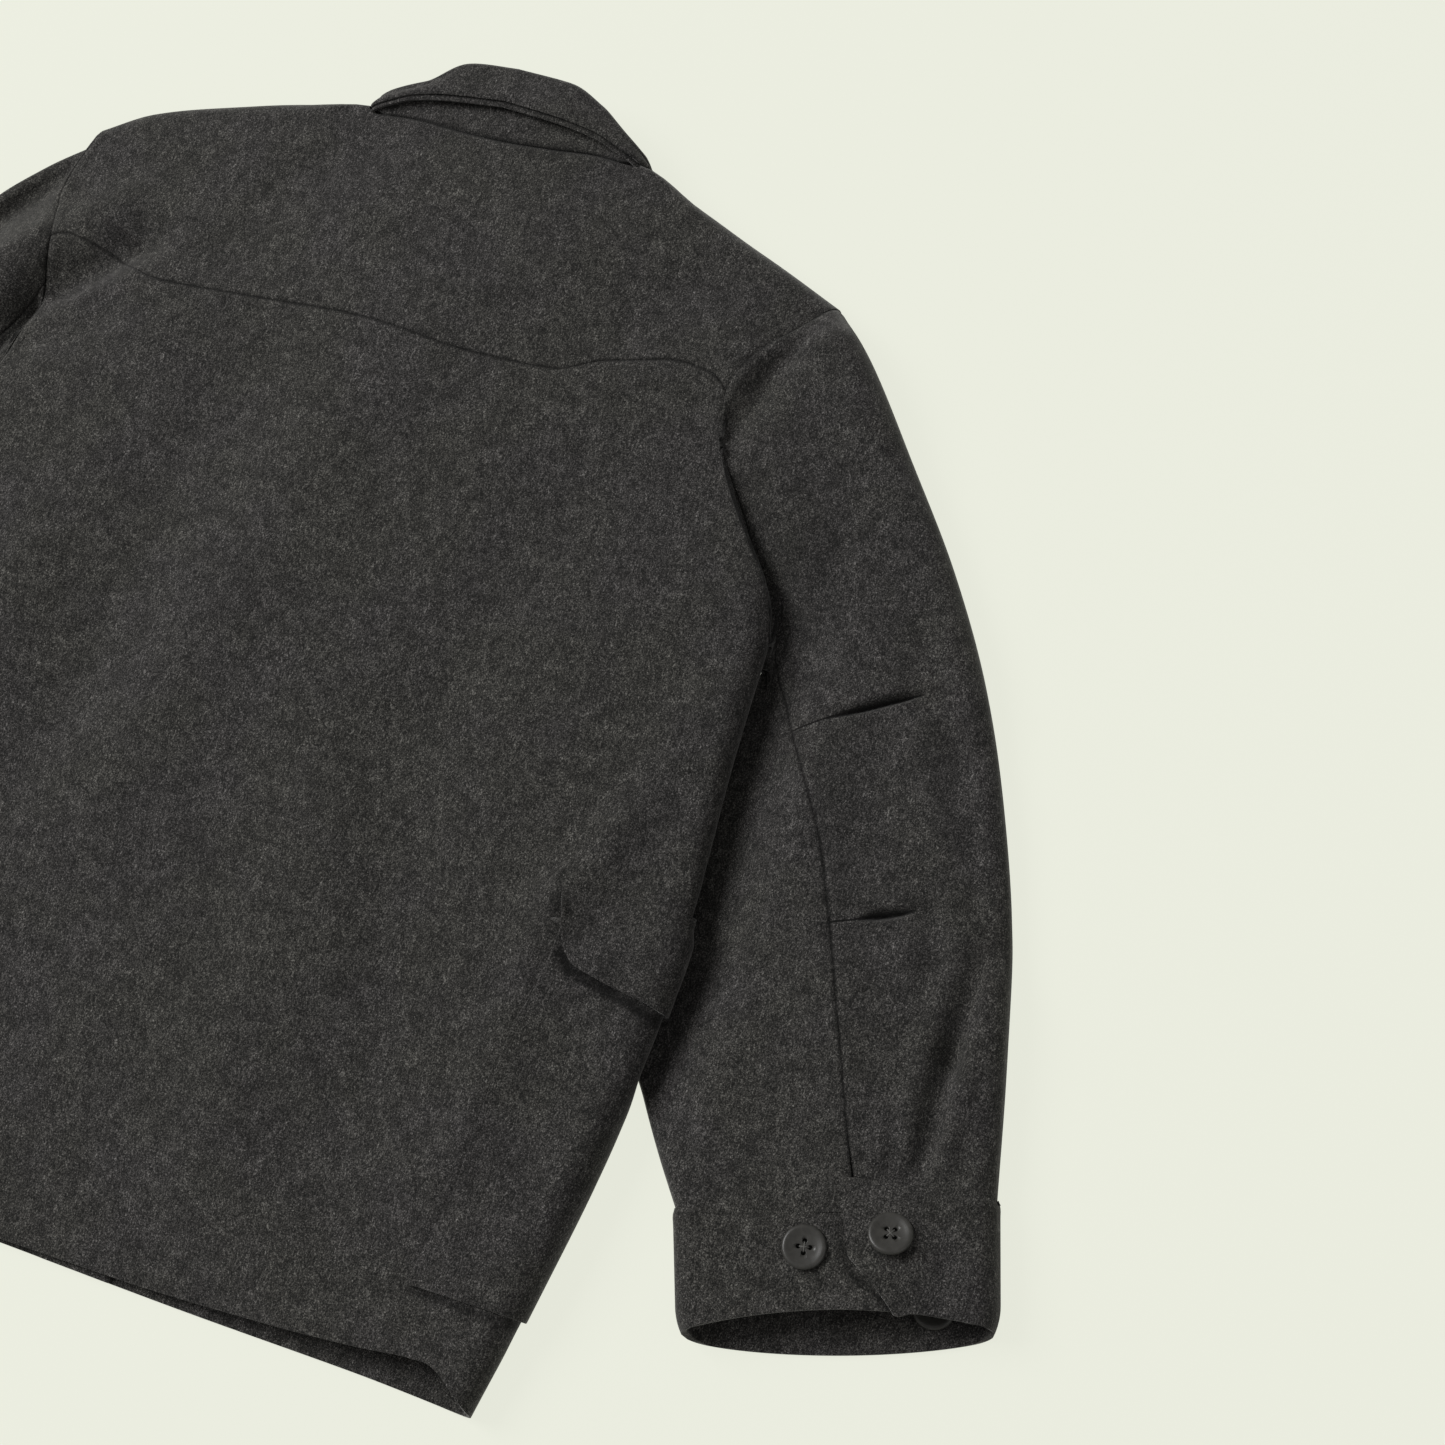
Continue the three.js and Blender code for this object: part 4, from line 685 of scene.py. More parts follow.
cloth(
    "shoulder_yoke", yoke_shown, keep=yoke_keep, flat=(0.52, 0.19), area=0.078,
    lies_on=["front_panel_right", "front_panel_left", "table"], replaces="yoke",
)

# The fronts
# Two panels of melton, sewn to the back under the side folds and to the yoke below the shoulders. They lap at
# the middle, where the buttons hold them, and their hems show past the back's.
FRONT_LAP = 17.0
INNER_COLUMNS = 36
front_grids = {}
for side, name in SIDES:
    seam_low = float(back_points[0, -1 if side > 0 else 0, 1])
    high = -110.0
    for _ in range(30):
        out = float(edge(side, high))
        high = float(shoulder(side * out) - shoulder_roll(out)) - FRONT_YOKE_DROP
    shares = close_ends(high - seam_low, 5.0)[:, None]
    edge_y = mix(seam_low, high, shares)
    low_hem = float(hem_low(back_points[0, -1 if side > 0 else 0, 0]))
    seam_x = 90.0
    for _ in range(12):
        seam_y = float(shoulder(side * seam_x) - shoulder_roll(seam_x)) - FRONT_YOKE_DROP
        seam_x = float(front_neck_x(side, seam_y))
    neck = mix(NECK_RIGHT if side > 0 else -NECK_LEFT, seam_x, smooth((shares - 0.7) / 0.3))
    lap_end = side * (CENTRE - side * FRONT_LAP)
    inner_parts = 7 * np.linspace(0, 1, INNER_COLUMNS)[1:] - 1e-9      # over the seven spans between the keys
    near = near_places[None, :]
    y = np.broadcast_to(edge_y, (len(shares), near_count + len(inner_parts))).copy()
    for _ in range(ROUNDS):
        place = seam_place(side, y, False)
        near_y, edge_row = y[:, :near_count], y[:, :1]
        x_near, z_near = body_point(side, near_y, place[:, :near_count] - near * near_scale(near_y), False)
        x_last, _ = body_point(side, edge_row, place[:, :1] - NEAR_LAST * near_scale(edge_row), False)
        last = side * x_last
        keys = [last, (last + neck) / 2, neck, 0.75 * neck, 0.75 * neck * 0.5 + 0.5 * (FRONT_LAP + 20)]
        keys += [np.full_like(neck, at) for at in (FRONT_LAP + 20, FRONT_LAP + 7, lap_end)]
        keys = np.concatenate(keys, axis=1)
        whole = np.floor(inner_parts).astype(int)
        x_inner = side * mix(keys[:, whole], keys[:, whole + 1], inner_parts - whole)
        x = np.concatenate([x_near, x_inner], axis=1)
        out = side * x
        at_seam = shoulder(side * out) - shoulder_roll(out) - FRONT_YOKE_DROP
        top_y = np.where(out >= seam_x - 0.2, at_seam, front_neck_y(x))
        hem = hem_low(x) - low_hem
        y = edge_y + hem * (1 - shares) + (top_y - high) * shares
    lap = 0.0 if side > 0 else LAYER * smooth((x - (CENTRE - FRONT_LAP - 14)) / 12)
    z_near = np.pad(z_near, ((0, 0), (0, len(inner_parts))))
    z = np.where(np.arange(x.shape[1]) < near_count, z_near, bottom(x, y) + lap)
    grid = np.stack([x, y, z], axis=2)
    front_grids[side] = grid
    cloth(
        f"front_panel_{name}", plain(face_out(side, grid)), flat=(0.31, 0.62),
        area=0.158 if side > 0 else 0.162, lies_on=["table"], replaces=f"front_{name}",
    )

# The sleeves
# Each sleeve is a tube of two pieces of melton, upper and under, set into the armhole. The seam between the
# two runs down the sleeve's back, and at the elbow two small darts run from it towards the outer fold.
LEFT_RISE = 8.0          # the left sleeve's head lies this much higher up the body than the right's
# Shares of the sleeve's width at which the seam lies, by shares of its length
BACK_SEAM = [
    (0, 0.51), (0.1, 0.57), (0.2, 0.69), (0.27, 0.70), (0.35, 0.65), (0.5, 0.548), (0.65, 0.474),
    (0.8, 0.445), (0.9, 0.434), (1, 0.43),
]
FRONT_SEAM = 0.52
SLEEVE_HEIGHT, TUCK_HEIGHT, TUCK_RAMP = 25.0, 9.0, 45.0
OUTER_ROLL = 12.0
OUTER_CORNER, INNER_CORNER = 24.0, 16.0
CUFF_PROUD, CUFF_RISE, UNDER_DROP = 1.6, 12.0, 5.0
SEAM_SLANT = 0.08        # the back seam meets the cuff a little aslant
# Soft folds, written as the body's are: of both sleeves, and those that only the right one shows
SLEEVE_FOLDS = [(262, -64, 300, -135, 11, -8), (318, -92, 345, -150, 14, 3)]
RIGHT_SLEEVE_FOLDS = [
    (216, -92, 200, -150, 11, -7), (338, -250, 374, -293, 13, -4), (374, -293, 408, -369, 13, -5),
    (350, -230, 392, -300, 10, 3), (418, -394, 416, -455, 8, -5.5), (417, -455, 421, -515, 7, -6),
    (428, -400, 430, -505, 7, 3.5), (405, -420, 406, -510, 8, 2.5), (384, -384, 394, -407, 8, -4),
    (403, -500, 407, -522, 5, -3), (300, -330, 330, -420, 22, 3), (296, -200, 318, -260, 22, 3),
    (352, -440, 372, -520, 18, 3), (330, -300, 350, -380, 22, -2.5),
]
# Hollows of the sleeve's head, close to the armhole
HEAD_FOLDS = {1: [(214, -86, 200, -142, 10, -7), (216, -186, 262, -250, 13, -4)],
              -1: [(258, -58, 302, -154, 12, -9), (240, -168, 275, -192, 12, -7),
                   (246, -110, 282, -160, 9, 3)]}
# The darts, each from the seam to its mouth's end: where the mouth starts, its half width and its depth
DARTS = [(281, -305, 346, -267, 0.24, 1.9, 5.5), (334, -403, 377, -383, 0.28, 2.3, 6.0)]
LEFT_DARTS_OUT = 14.0
outer_x, outer_y, inner_x, inner_y = (curve(SLEEVE_ROWS, column) for column in (1, 2, 3, 4))
back_seam = curve(BACK_SEAM)


def dart_sink(x, y):
    """How deep the cloth sinks into the darts' stitched line and open mouth."""
    sunk = 0.0
    for x0, y0, x1, y1, mouth, width, deep in DARTS:
        along, aside, length = from_line(x, y, x0, y0, x1, y1)
        open_by = smooth((along / length - mouth) / 0.35) * (1 - smooth((along / length - 0.8) / 0.22))
        wide = width * (0.5 + 0.5 * open_by)
        depth = deep * (0.12 + 0.88 * open_by)
        depth = depth * smooth((along + 2) / 4) * (1 - smooth((along - length) / 4))
        swell = 1.2 * open_by * np.exp(-(((aside + 6) / 5) ** 2))
        sunk = sunk + depth * np.exp(-np.abs(aside / wide) ** 2) - swell
    return sunk


def sleeve_top(side, out, y):
    """How high the sleeve's face lies: low where it is tucked in under the body, and full beside it."""
    full = smooth((out - edge(side, y) - 2) / TUCK_RAMP)
    table_of = SLEEVE_FOLDS + (RIGHT_SLEEVE_FOLDS if side > 0 else [])
    dart_out = out - only_left(side, LEFT_DARTS_OUT)
    rise = folds(table_of, out, y) + 0.5 * waves(out, y) - dart_sink(dart_out, y)
    return TUCK_HEIGHT + (SLEEVE_HEIGHT - TUCK_HEIGHT) * full + full * rise


def sleeve_ends(side, v):
    """The sleeve's outer fold at a share v of its length, the way across to the inner fold and the width."""
    outer_shift = only_left(side, mix(LEFT_TIP, LEFT_CUFF, v))
    inner_shift = only_left(side, mix(LEFT_ARMPIT, LEFT_CUFF, v))
    outer_rise = only_left(side, LEFT_RISE * (1 - smooth(v / 0.6)))
    outer = np.stack([outer_x(v) + outer_shift, outer_y(v) + outer_rise], axis=-1)
    inner = np.stack([inner_x(v) + inner_shift, inner_y(v)], axis=-1)
    width = np.linalg.norm(inner - outer, axis=-1)
    return outer, (inner - outer) / width[..., None], width


def tube_point(side, ends, c, is_top, high, low):
    """A point of a laid tube, by its place c across from the outer fold, on the top or underneath."""
    outer, across, width = ends
    plan = lambda at: (outer[..., 0] + across[..., 0] * at, outer[..., 1] + across[..., 1] * at)
    inner_roll = np.clip(high(*plan(width - 8)) / 2, 4, OUTER_ROLL)
    crown = high(*plan(np.clip(c, OUTER_ROLL, width - inner_roll)))
    from_fold = np.minimum(np.minimum(c / OUTER_ROLL, (width - c) / inner_roll), 1)
    rounding = np.sqrt(np.maximum(0, 1 - (1 - from_fold) ** 2))
    z = mix(low, crown, (1 + (rounding if is_top else -rounding)) / 2)
    out, y = plan(c)
    return np.stack([side * out, y, z], axis=-1)


def armhole_line(points):
    """The points of the armhole's edge, with each one's distance along it."""
    steps = np.hypot(*np.diff(points[:, :2], axis=0).T)
    return points, np.concatenate([[0], np.cumsum(steps)])


def station_place(c, hole_width, width, share, start_share):
    """A place across the sleeve that goes with a place along the armhole."""
    start = start_share * hole_width
    places = [(0, 0), (OUTER_CORNER, OUTER_CORNER), (start, share * width),
              (hole_width - INNER_CORNER, width - INNER_CORNER), (hole_width, width)]
    for (c0, w0), (c1, w1) in zip(places, places[1:]):
        part = mix(w0, w1, (c - c0) / (c1 - c0))
        placed = part if c0 == 0 else np.where(c >= c0, part, placed)
    return placed


def sleeve_points(side, v, c, line, is_top, is_upper):
    """A sleeve's points, a row for each v from armhole to cuff, a column for each place c across it."""
    points, places = line
    hole_width = places[-1]
    share = back_seam(v) if is_top else np.full_like(v, FRONT_SEAM)
    start_share = BACK_SEAM[0][1] if is_top else FRONT_SEAM
    low = CUFF_PROUD * smooth((v - 0.85) / 0.15)
    high = lambda out, y: sleeve_top(side, out, y)
    station = np.stack([np.interp(c, places, points[:, k]) for k in range(3)], axis=-1)

    def at(place, seam_share):
        ends = sleeve_ends(side, place)
        placed = station_place(c, hole_width, ends[2], seam_share, start_share)
        return tube_point(side, ends, placed, is_top, high, low)

    start = at(np.zeros_like(v), np.full_like(v, start_share))
    innerness = smooth((c / hole_width - 0.6) / 0.4)
    hold = 1 - smooth(v / mix(0.34, 0.10, innerness))
    found = at(v, share) + (station - start) * hold[..., None]
    outer, across, width = sleeve_ends(side, v)
    place = station_place(c, hole_width, width, share, start_share)
    shift = 0.0
    if is_top:
        at_inner = smooth((width - place) / 30)
        shift = CUFF_RISE * place / (share * width) if is_upper else -UNDER_DROP * at_inner
        shift = shift * smooth((v - 0.8) / 0.2)
    aslant = SEAM_SLANT * shift * np.exp(-(((place - share * width) / 40) ** 2))
    found[..., 0] += side * (across[..., 1] * shift + across[..., 0] * aslant)
    found[..., 1] += across[..., 1] * aslant - across[..., 0] * shift
    if is_top:
        found[..., 2] += folds(HEAD_FOLDS[side], side * found[..., 0], found[..., 1]) * smooth(v / 0.03)
    found[..., 2] = np.maximum(found[..., 2], 0)
    return found


# The upper sleeve's wool has painted shade down in the darts: a thin dark line from the seam, then the open
# mouth's dark wedge.
dart_shaded_wool = wool.copy()
dart_shaded_wool.name = "charcoal_wool_melton_with_painted_dart_shade"
nodes, links = dart_shaded_wool.node_tree.nodes, dart_shaded_wool.node_tree.links
woolly, where = nodes["Principled BSDF"], nodes["Texture Coordinate"]


def ramped(value, low, high, at_low=0.0, at_high=1.0):
    """A value that goes softly from one limit to another."""
    node = nodes.new("ShaderNodeMapRange")
    node.interpolation_type = "SMOOTHSTEP"
    for number, limit in enumerate((low, high, at_low, at_high), 1):
        if isinstance(limit, (int, float)):
            node.inputs[number].default_value = limit
        else:
            links.new(limit, node.inputs[number])
    links.new(value, node.inputs[0])
    return node.outputs[0]


apart = nodes.new("ShaderNodeSeparateXYZ")
links.new(where.outputs["Object"], apart.inputs[0])
across_body = worked("MULTIPLY_ADD", apart.outputs[0], 1 / MM, float(LAID_MIDDLE[0]))
on_left = worked("LESS_THAN", across_body, 0.0)
dart_x = worked("SUBTRACT", worked("ABSOLUTE", across_body), worked("MULTIPLY", on_left, LEFT_DARTS_OUT))
dart_y = worked("MULTIPLY_ADD", apart.outputs[1], 1 / MM, float(LAID_MIDDLE[1]))
dart_shade = None
for x0, y0, x1, y1, mouth, width, _ in DARTS:
    length = math.hypot(x1 - x0, y1 - y0)
    along_x, along_y = (x1 - x0) / length, (y1 - y0) / length
    from_x, from_y = worked("SUBTRACT", dart_x, float(x0)), worked("SUBTRACT", dart_y, float(y0))
    along = worked("MULTIPLY_ADD", from_x, along_x, worked("MULTIPLY", from_y, along_y))
    aside = worked("MULTIPLY_ADD", from_x, along_y, worked("MULTIPLY", from_y, -along_x))
    aside = worked("ABSOLUTE", aside)
    opening = ramped(along, mouth * length, (mouth + 0.25) * length, 0.55, 0.95 * width)
    half_width = worked("MULTIPLY", opening, ramped(along, 0.62 * length, 1.02 * length, 1.0, 0.3))
    line_dark = ramped(worked("DIVIDE", aside, half_width), 0.45, 1.5, 1.0, 0.0)
    line_dark = worked("MULTIPLY", line_dark, ramped(along, -0.5, 0.5))
    line_dark = worked("MULTIPLY", line_dark, ramped(along, 0.94 * length, 1.04 * length, 1.0, 0.0))
    dart_shade = line_dark if dart_shade is None else worked("MAXIMUM", dart_shade, line_dark)
dart_shade = worked("MULTIPLY", dart_shade, ramped(apart.outputs[2], 8 * MM, 12 * MM))
colour = woolly.inputs["Base Color"].links[0].from_socket
colour = tinted(colour, dart_shade, 1.0, 0.0, 1.0, (1, 1, 1, 1), (0.1, 0.1, 0.1, 1))
links.new(colour, woolly.inputs["Base Color"])


tip_row = len(yoke_shares) + int(np.argmin(np.abs(fold_angles - 90)))
# rows along the sleeve, twice as close near the darts
sleeve_v = close_ends(480, 2.4)
near_darts = (np.abs(sleeve_v[:-1] - 0.45) < 0.09) | (np.abs(sleeve_v[:-1] - 0.68) < 0.07)
between_rows = ((sleeve_v[:-1] + sleeve_v[1:]) / 2)[near_darts]
sleeve_v = np.sort(np.concatenate([sleeve_v, between_rows]))[::-1]
SHADE_FROM, SHADE_WIDTH = 262.0, 26.0    # the body's edge shades the sleeve from here, less and less outward
# each piece's cut: its width and length in metres, and its area
SLEEVE_CUTS = {"upper right": (0.22, 0.56, 0.102), "under right": (0.15, 0.47, 0.056),
               "upper left": (0.21, 0.55, 0.093), "under left": (0.15, 0.48, 0.06)}
fine = lambda a, b, step: np.linspace(a, b, max(int(abs(b - a) / step), 1) + 1)
for side, name in SIDES:
    column = -1 if side > 0 else 0
    back_edge, yoke_edge = back_points[:, column], yoke_points[:, column]
    front_edge = front_grids[side][:, 0][::-1]
    back_part = back_edge[back_edge[:, 1] >= ARMPIT_Y]
    upper_line = np.concatenate([yoke_edge[:tip_row + 1][::-1], back_part[::-1]])
    lower_line = np.concatenate([yoke_edge[tip_row:], front_edge[front_edge[:, 1] >= ARMPIT_Y]])
    top_line, low_line = armhole_line(upper_line), armhole_line(lower_line)
    top_width, low_width = top_line[1][-1], low_line[1][-1]
    top_seam, low_seam = BACK_SEAM[0][1] * top_width, FRONT_SEAM * low_width
    upper_top = np.concatenate([top_seam - SEAM_STEPS, fine(top_seam - 7.4, 12, 2.4), fine(10, 0, 1.2)])
    upper_low = np.concatenate([fine(1.2, 12, 1.2), fine(16, low_seam, 6)])
    under_low = np.concatenate([fine(low_seam, low_width - 16, 6), fine(low_width - 14, low_width, 1.2)])
    under_top = [fine(top_width - 1.2, top_width - 12, 1.2), fine(top_width - 14.4, top_seam + 7.4, 2.4)]
    under_top = np.concatenate(under_top + [top_seam + SEAM_STEPS[::-1]])
    halves = {
        "upper": [(upper_top, top_line, True), (upper_low, low_line, False)],
        "under": [(under_low, low_line, False), (under_top, top_line, True)],
    }
    for part, pieces in halves.items():
        rows = []
        for places, line, is_top in pieces:
            v, c = np.meshgrid(sleeve_v, places, indexing="ij")
            rows.append(sleeve_points(side, v, c, line, is_top, part == "upper"))
        seam_side = "left" if (part == "upper") == (side > 0) else "right"
        shown = rolled(face_out(side, np.concatenate(rows, axis=1)), ["high", seam_side])
        # painted shade of the body's edge on the sleeve beside it, fading outward
        from_body = np.maximum(side * shown[..., 0] - SHADE_FROM, 0)
        below_armpit = smooth((-shown[..., 1] - 150) / 60) * (1 - smooth((-shown[..., 1] - 470) / 90))
        shaded_part = 0.42 * below_armpit * np.exp(-((from_body / SHADE_WIDTH) ** 2)) * (shown[..., 2] > 6)
        shown[..., 3] = np.maximum(shown[..., 3], shaded_part)
        width, length, area = SLEEVE_CUTS[f"{part} {name}"]
        cloth(
            f"sleeve_{part}_{name}_cloth", shown, flat=(width, length), area=area, lies_on=["table"],
            replaces=f"sleeve_{part}_{name}", look=dart_shaded_wool if part == "upper" else wool,
        )

# The cuffs
# A doubled strip of melton round each wrist, sewn over the sleeve's end and lapped on the sleeve's back,
# where the overlap's corner is cut off at a slant. The mouth stands open.
CUFF_OUTER = [(460.0, -516.0), (479.0, -579.0)]
CUFF_INNER = [(301.0, -569.0), (323.0, -629.0)]
CUFF_THICK = 3.2
OVERLAP_LIFT = CUFF_THICK + LIE_GAP
CUFF_END = 0.475         # the overlap ends at this share of the width
END_LIFT = 2.2           # the overlap's end stands away by this much more
WRIST_BOW, UNDER_BOW = 11.0, 10.0
MOUTH_ROUND = 2.8        # the cuff's two lower corners draw in by this much
cuff_seam_share = BACK_SEAM[-1][1]


def cuff_ends(side, share):
    """The cuff's outer fold at a share of its depth, the way across to the inner fold and the width."""
    shift = only_left(side, LEFT_CUFF)
    outer, inner = (
        np.stack([mix(x0, x1, share) + shift, mix(y0, y1, share)], axis=-1)
        for (x0, y0), (x1, y1) in (CUFF_OUTER, CUFF_INNER)
    )
    width = np.linalg.norm(inner - outer, axis=-1)
    across = (inner - outer) / width[..., None]
    proud = CUFF_PROUD - MOUTH_ROUND * np.clip((share - 0.8) / 0.2, 0, 1) ** 2
    return outer - across * proud[..., None], across, width + 2 * proud


def cuff_points(side, share, c, part):
    """Points of a cuff: part over is the overlap, low the layer on the table, top the underlap's layer."""
    ends = cuff_ends(side, share)
    outer, across, width = ends
    lift = 0.0
    if part == "over":
        near_end = smooth((c / width - 0.26) / 0.12) * smooth((share - 0.45) / 0.3)
        lift = OVERLAP_LIFT * smooth((c / width - 0.16) / 0.12) + END_LIFT * near_end
    high = lambda out, y: SLEEVE_HEIGHT + CUFF_PROUD + lift + 0.35 * waves(out, y)
    found = tube_point(side, ends, c, part != "low", high, np.zeros_like(c))
    if part != "low":
        climb = -UNDER_DROP * smooth((width - CUFF_PROUD - c) / 30)
        if part == "over":
            climb = CUFF_RISE * np.minimum(c / (cuff_seam_share * width), 1.05)
        move = mix(climb, WRIST_BOW * np.sin(math.pi * np.clip(c / width, 0, 1)) ** 0.75, share)
    else:
        move = -UNDER_BOW * np.sin(math.pi * np.clip(c / width, 0, 1)) ** 0.5 * share
    found[..., 0] += side * across[..., 1] * move
    found[..., 1] -= across[..., 0] * move
    return found


for side, name in SIDES:
    share = close_ends(64, 2.2)[::-1][:, None]
    _, _, width = cuff_ends(side, share)
    over_end = (CUFF_END - np.where(share < 0.6, 0.04 * share, 0.024 + (share - 0.6) * 0.36)) * width
    rows, dark = [], []
    for part, whole, spans in (
        ("over", over_end, ((1, 0.12, 34), (0.1, 0, 6))),
        ("low", width, ((0, 0.08, 8), (0.1, 0.9, 24), (0.92, 1, 8))),
        ("top", width, ((0.995, 0.92, 8), (0.9, 0.56, 15), (0.55, 0.25, 30))),
    ):
        c = np.concatenate([np.linspace(*span) for span in spans])[None] * whole
        s, c = np.broadcast_arrays(share, c)
        points = cuff_points(side, s, c, part)
        if part == "over":
            # the cut corner's lower point juts out a little
            across = cuff_ends(side, s)[1]
            jut = 2.4 * np.exp(-(((c - over_end + 2) / 4.5) ** 2)) * s ** 10
            points[..., 0] -= side * across[..., 1] * jut
            points[..., 1] += across[..., 0] * jut
        rows.append(points)
        # painted shade on the underlap, close beside the overlap's end that lies over it
        overlap_end_shade = 0.95 * np.exp(-(((c - over_end - 1) / 3.4) ** 2)) * (0.7 + 0.3 * smooth((s - 0.4) / 0.3))
        dark.append(overlap_end_shade if part == "top" else np.zeros_like(c))
    grid, dark = (face_out(side, np.concatenate(parts, axis=1)) for parts in (rows, dark))
    shown = rolled(grid, ["high"], depth=0.9, reach=2.2, dark=0.15)
    shown[..., 3] = np.maximum(shown[..., 3], dark)
    cloth(
        f"cuff_{name}_cloth", shown, flat=(0.37, 0.066), area=0.0238, lies_on=["table"],
        thickness=CUFF_THICK, replaces=f"cuff_{name}",
    )

# The collar
# A stand of melton that rises from the neck seam, and a fall that turns down over it at the back and lies on
# the fronts underneath. The fall's edge is doubled, thick and a little rounded.

# From the back's middle at 0 to the front's end at 2: the fold's x, y and z, then the fall's lower edge's
COLLAR_ROWS = [
    (0.00, 0, 35, 36, 0, 13, 43), (0.35, 34, 33, 36, 36, 10, 42.5), (0.65, 58, 23, 35, 62, 6, 41),
    (0.85, 76, 11, 32, 82, 0, 36), (0.93, 84, 7, 27, 91, -2, 31), (1.00, 88, 5, 18.5, 97, 1, 18),
    (1.05, 87, 4, 11, 100, 1, 7), (1.12, 84, 1, 8, 105, -5, 0), (1.25, 79, -10, 7, 105, -26, 0),
    (1.50, 62, -36, 6.6, 94, -66, 0), (1.75, 36, -54, 6.6, 76, -100, 0), (2.00, 9, -62, 6.6, 50, -120, 0),
]
FALL_THICK = 3.4
UNDER_FALL = 2.0         # the under collar lies this far below the fall's face
EDGE_BACK, EDGE_OUT = 2.0, 1.2           # how far the upper layer's edge is drawn back and the lower's shows
FALL_OUT = 5.2
STAND_SHORT = 6.5        # the stand ends this far below the fold
LEFT_NARROW = 0.94       # the collar's left half lies this much narrower
LEFT_DIP = 8.0           # and its fold dips by this much on the way
fold_x, fold_y, fold_z, fall_x, fall_y, fall_z = (curve(COLLAR_ROWS, column) for column in range(1, 7))
neck_row = len(yoke_shares) - 1


def fold_points(side, place):
    """The line on which the collar folds over."""
    narrow = 1.0 if side > 0 else LEFT_NARROW
    dip = only_left(side, LEFT_DIP * np.exp(-(((place - 0.62) / 0.2) ** 2)))
    return np.stack([side * narrow * fold_x(place), fold_y(place) - dip, fold_z(place)], axis=-1)


def neck_line(side):
    """The neck seam from the middle of the back round to the front's lap, with its places 0 to 2."""
    middle = (FIRST_NECK + LAST_NECK) // 2
    if side > 0:
        back_part = yoke_points[neck_row, middle:LAST_NECK + 1]
        strap = yoke_points[neck_row + 1:, LAST_NECK]
    else:
        back_part = yoke_points[neck_row, FIRST_NECK:middle + 1][::-1]
        strap = yoke_points[neck_row + 1:, FIRST_NECK]
    front_top = front_grids[side][-1]
    seam_end = int(np.argmin(np.linalg.norm(front_top - strap[-1], axis=1)))
    front_part = front_top[seam_end + 1:]
    places = np.concatenate([
        0.95 * np.linspace(0, 1, len(back_part)), np.linspace(0.96, 1.06, len(fold_angles)),
        np.linspace(1.08, 1.4, len(strap_drops)), np.linspace(1.4, 2, len(front_part) + 1)[1:],
    ])
    return places, np.concatenate([back_part, strap, front_part])


# The stand's seam allowance, turned down behind the yoke's edge: how far down the back and how far in
ALLOWANCE = [(6.0, 4.0), (2.5, 3.7), (0.1, 3.0), (-0.1, 1.4)]
half_stands = []
for side in (-1, 1):
    places, seam = neck_line(side)
    station = np.concatenate([np.linspace(0, 0.9, 30), np.linspace(0.92, 1.1, 14), np.linspace(1.13, 2, 24)])
    base = np.stack([np.interp(station, places, seam[:, k]) for k in range(3)], axis=-1)
    crest = fold_points(side, station)
    reach = crest - base
    length = np.linalg.norm(reach, axis=-1, keepdims=True)
    clear = (0.4 + 3.0 * smooth((station - 0.8) / 0.15))[:, None]
    start = base + reach * np.minimum(clear / length, 0.35)
    finish = crest - reach * np.minimum(STAND_SHORT / length, 0.4)
    behind = (1 - smooth((station - 0.87) / 0.09))[:, None]
    turned_down = []
    for count, (down, inward) in enumerate(ALLOWANCE):
        hidden = start + np.array([0, -down, -inward])
        beside_base = start - reach / length * 0.08 * (len(ALLOWANCE) - count)
        turned_down.append(mix(beside_base, hidden, behind))
    rows = np.array(turned_down + [mix(start, finish, t) for t in np.linspace(0, 1, 9)])
    half_stands.append(rows[:, ::-1][:, :-1] if side < 0 else rows)
stand_points = np.concatenate(half_stands, axis=1)
stand_shown = plain(stand_points)
# painted shade on the allowance turned down behind the yoke and on the stand's lowest row
stand_shown[:len(ALLOWANCE) + 1, :, 3] = 0.9
cloth(
    "collar_stand_cloth", stand_shown, flat=(0.48, 0.027), area=0.0094,
    lies_on=["shoulder_yoke", "front_panel_right", "front_panel_left"], replaces="collar_stand",
)

half_falls = []
for side in (-1, 1):
    place = np.concatenate([np.linspace(0, 0.9, 34), np.linspace(0.915, 1.12, 22), np.linspace(1.15, 2, 24)])
    narrow = 1.0 if side > 0 else LEFT_NARROW
    turned_in = smooth((place - 0.97) / 0.1)
    crest = fold_points(side, place)
    stands = mix(FALL_THICK + 0.4, -crest[:, 2], turned_in)
    lip = np.stack([side * narrow * fall_x(place), fall_y(place), fall_z(place)], axis=-1)
    above = crest + np.stack([0 * stands, 0 * stands, stands], axis=-1)
    corner = smooth((place - 0.80) / 0.16) * smooth((1.16 - place) / 0.1)
    above += corner[:, None] * np.array([side * 1.5, 0.5, 0])
    fall_out = FALL_OUT * (1 - 0.6 * corner)
    end_z = mix(above[:, 2] - 5, 5, turned_in)
    end = np.stack([above[:, 0] + side * 0.8 * corner, above[:, 1] + fall_out, end_z], axis=-1)
    rows = []
    for t in np.concatenate([[0, 0.03, 0.07, 0.12], np.linspace(0.18, 1, 14)]):
        crown = 0.8 * math.sin(math.pi * t) * (1 - turned_in)
        rows.append(mix(lip, above, t) + np.stack([0 * place, 0 * place, crown], axis=-1))
    for t in np.linspace(0, 1, 7)[1:]:
        angle = 0.5 * math.pi * t
        rows.append(above + (end - above) * np.array([math.sin(angle), math.sin(angle), 1 - math.cos(angle)]))
    rows = np.array(rows)
    half_falls.append(rows[:, ::-1][:, :-1] if side < 0 else rows)
fall_points = np.concatenate(half_falls, axis=1)
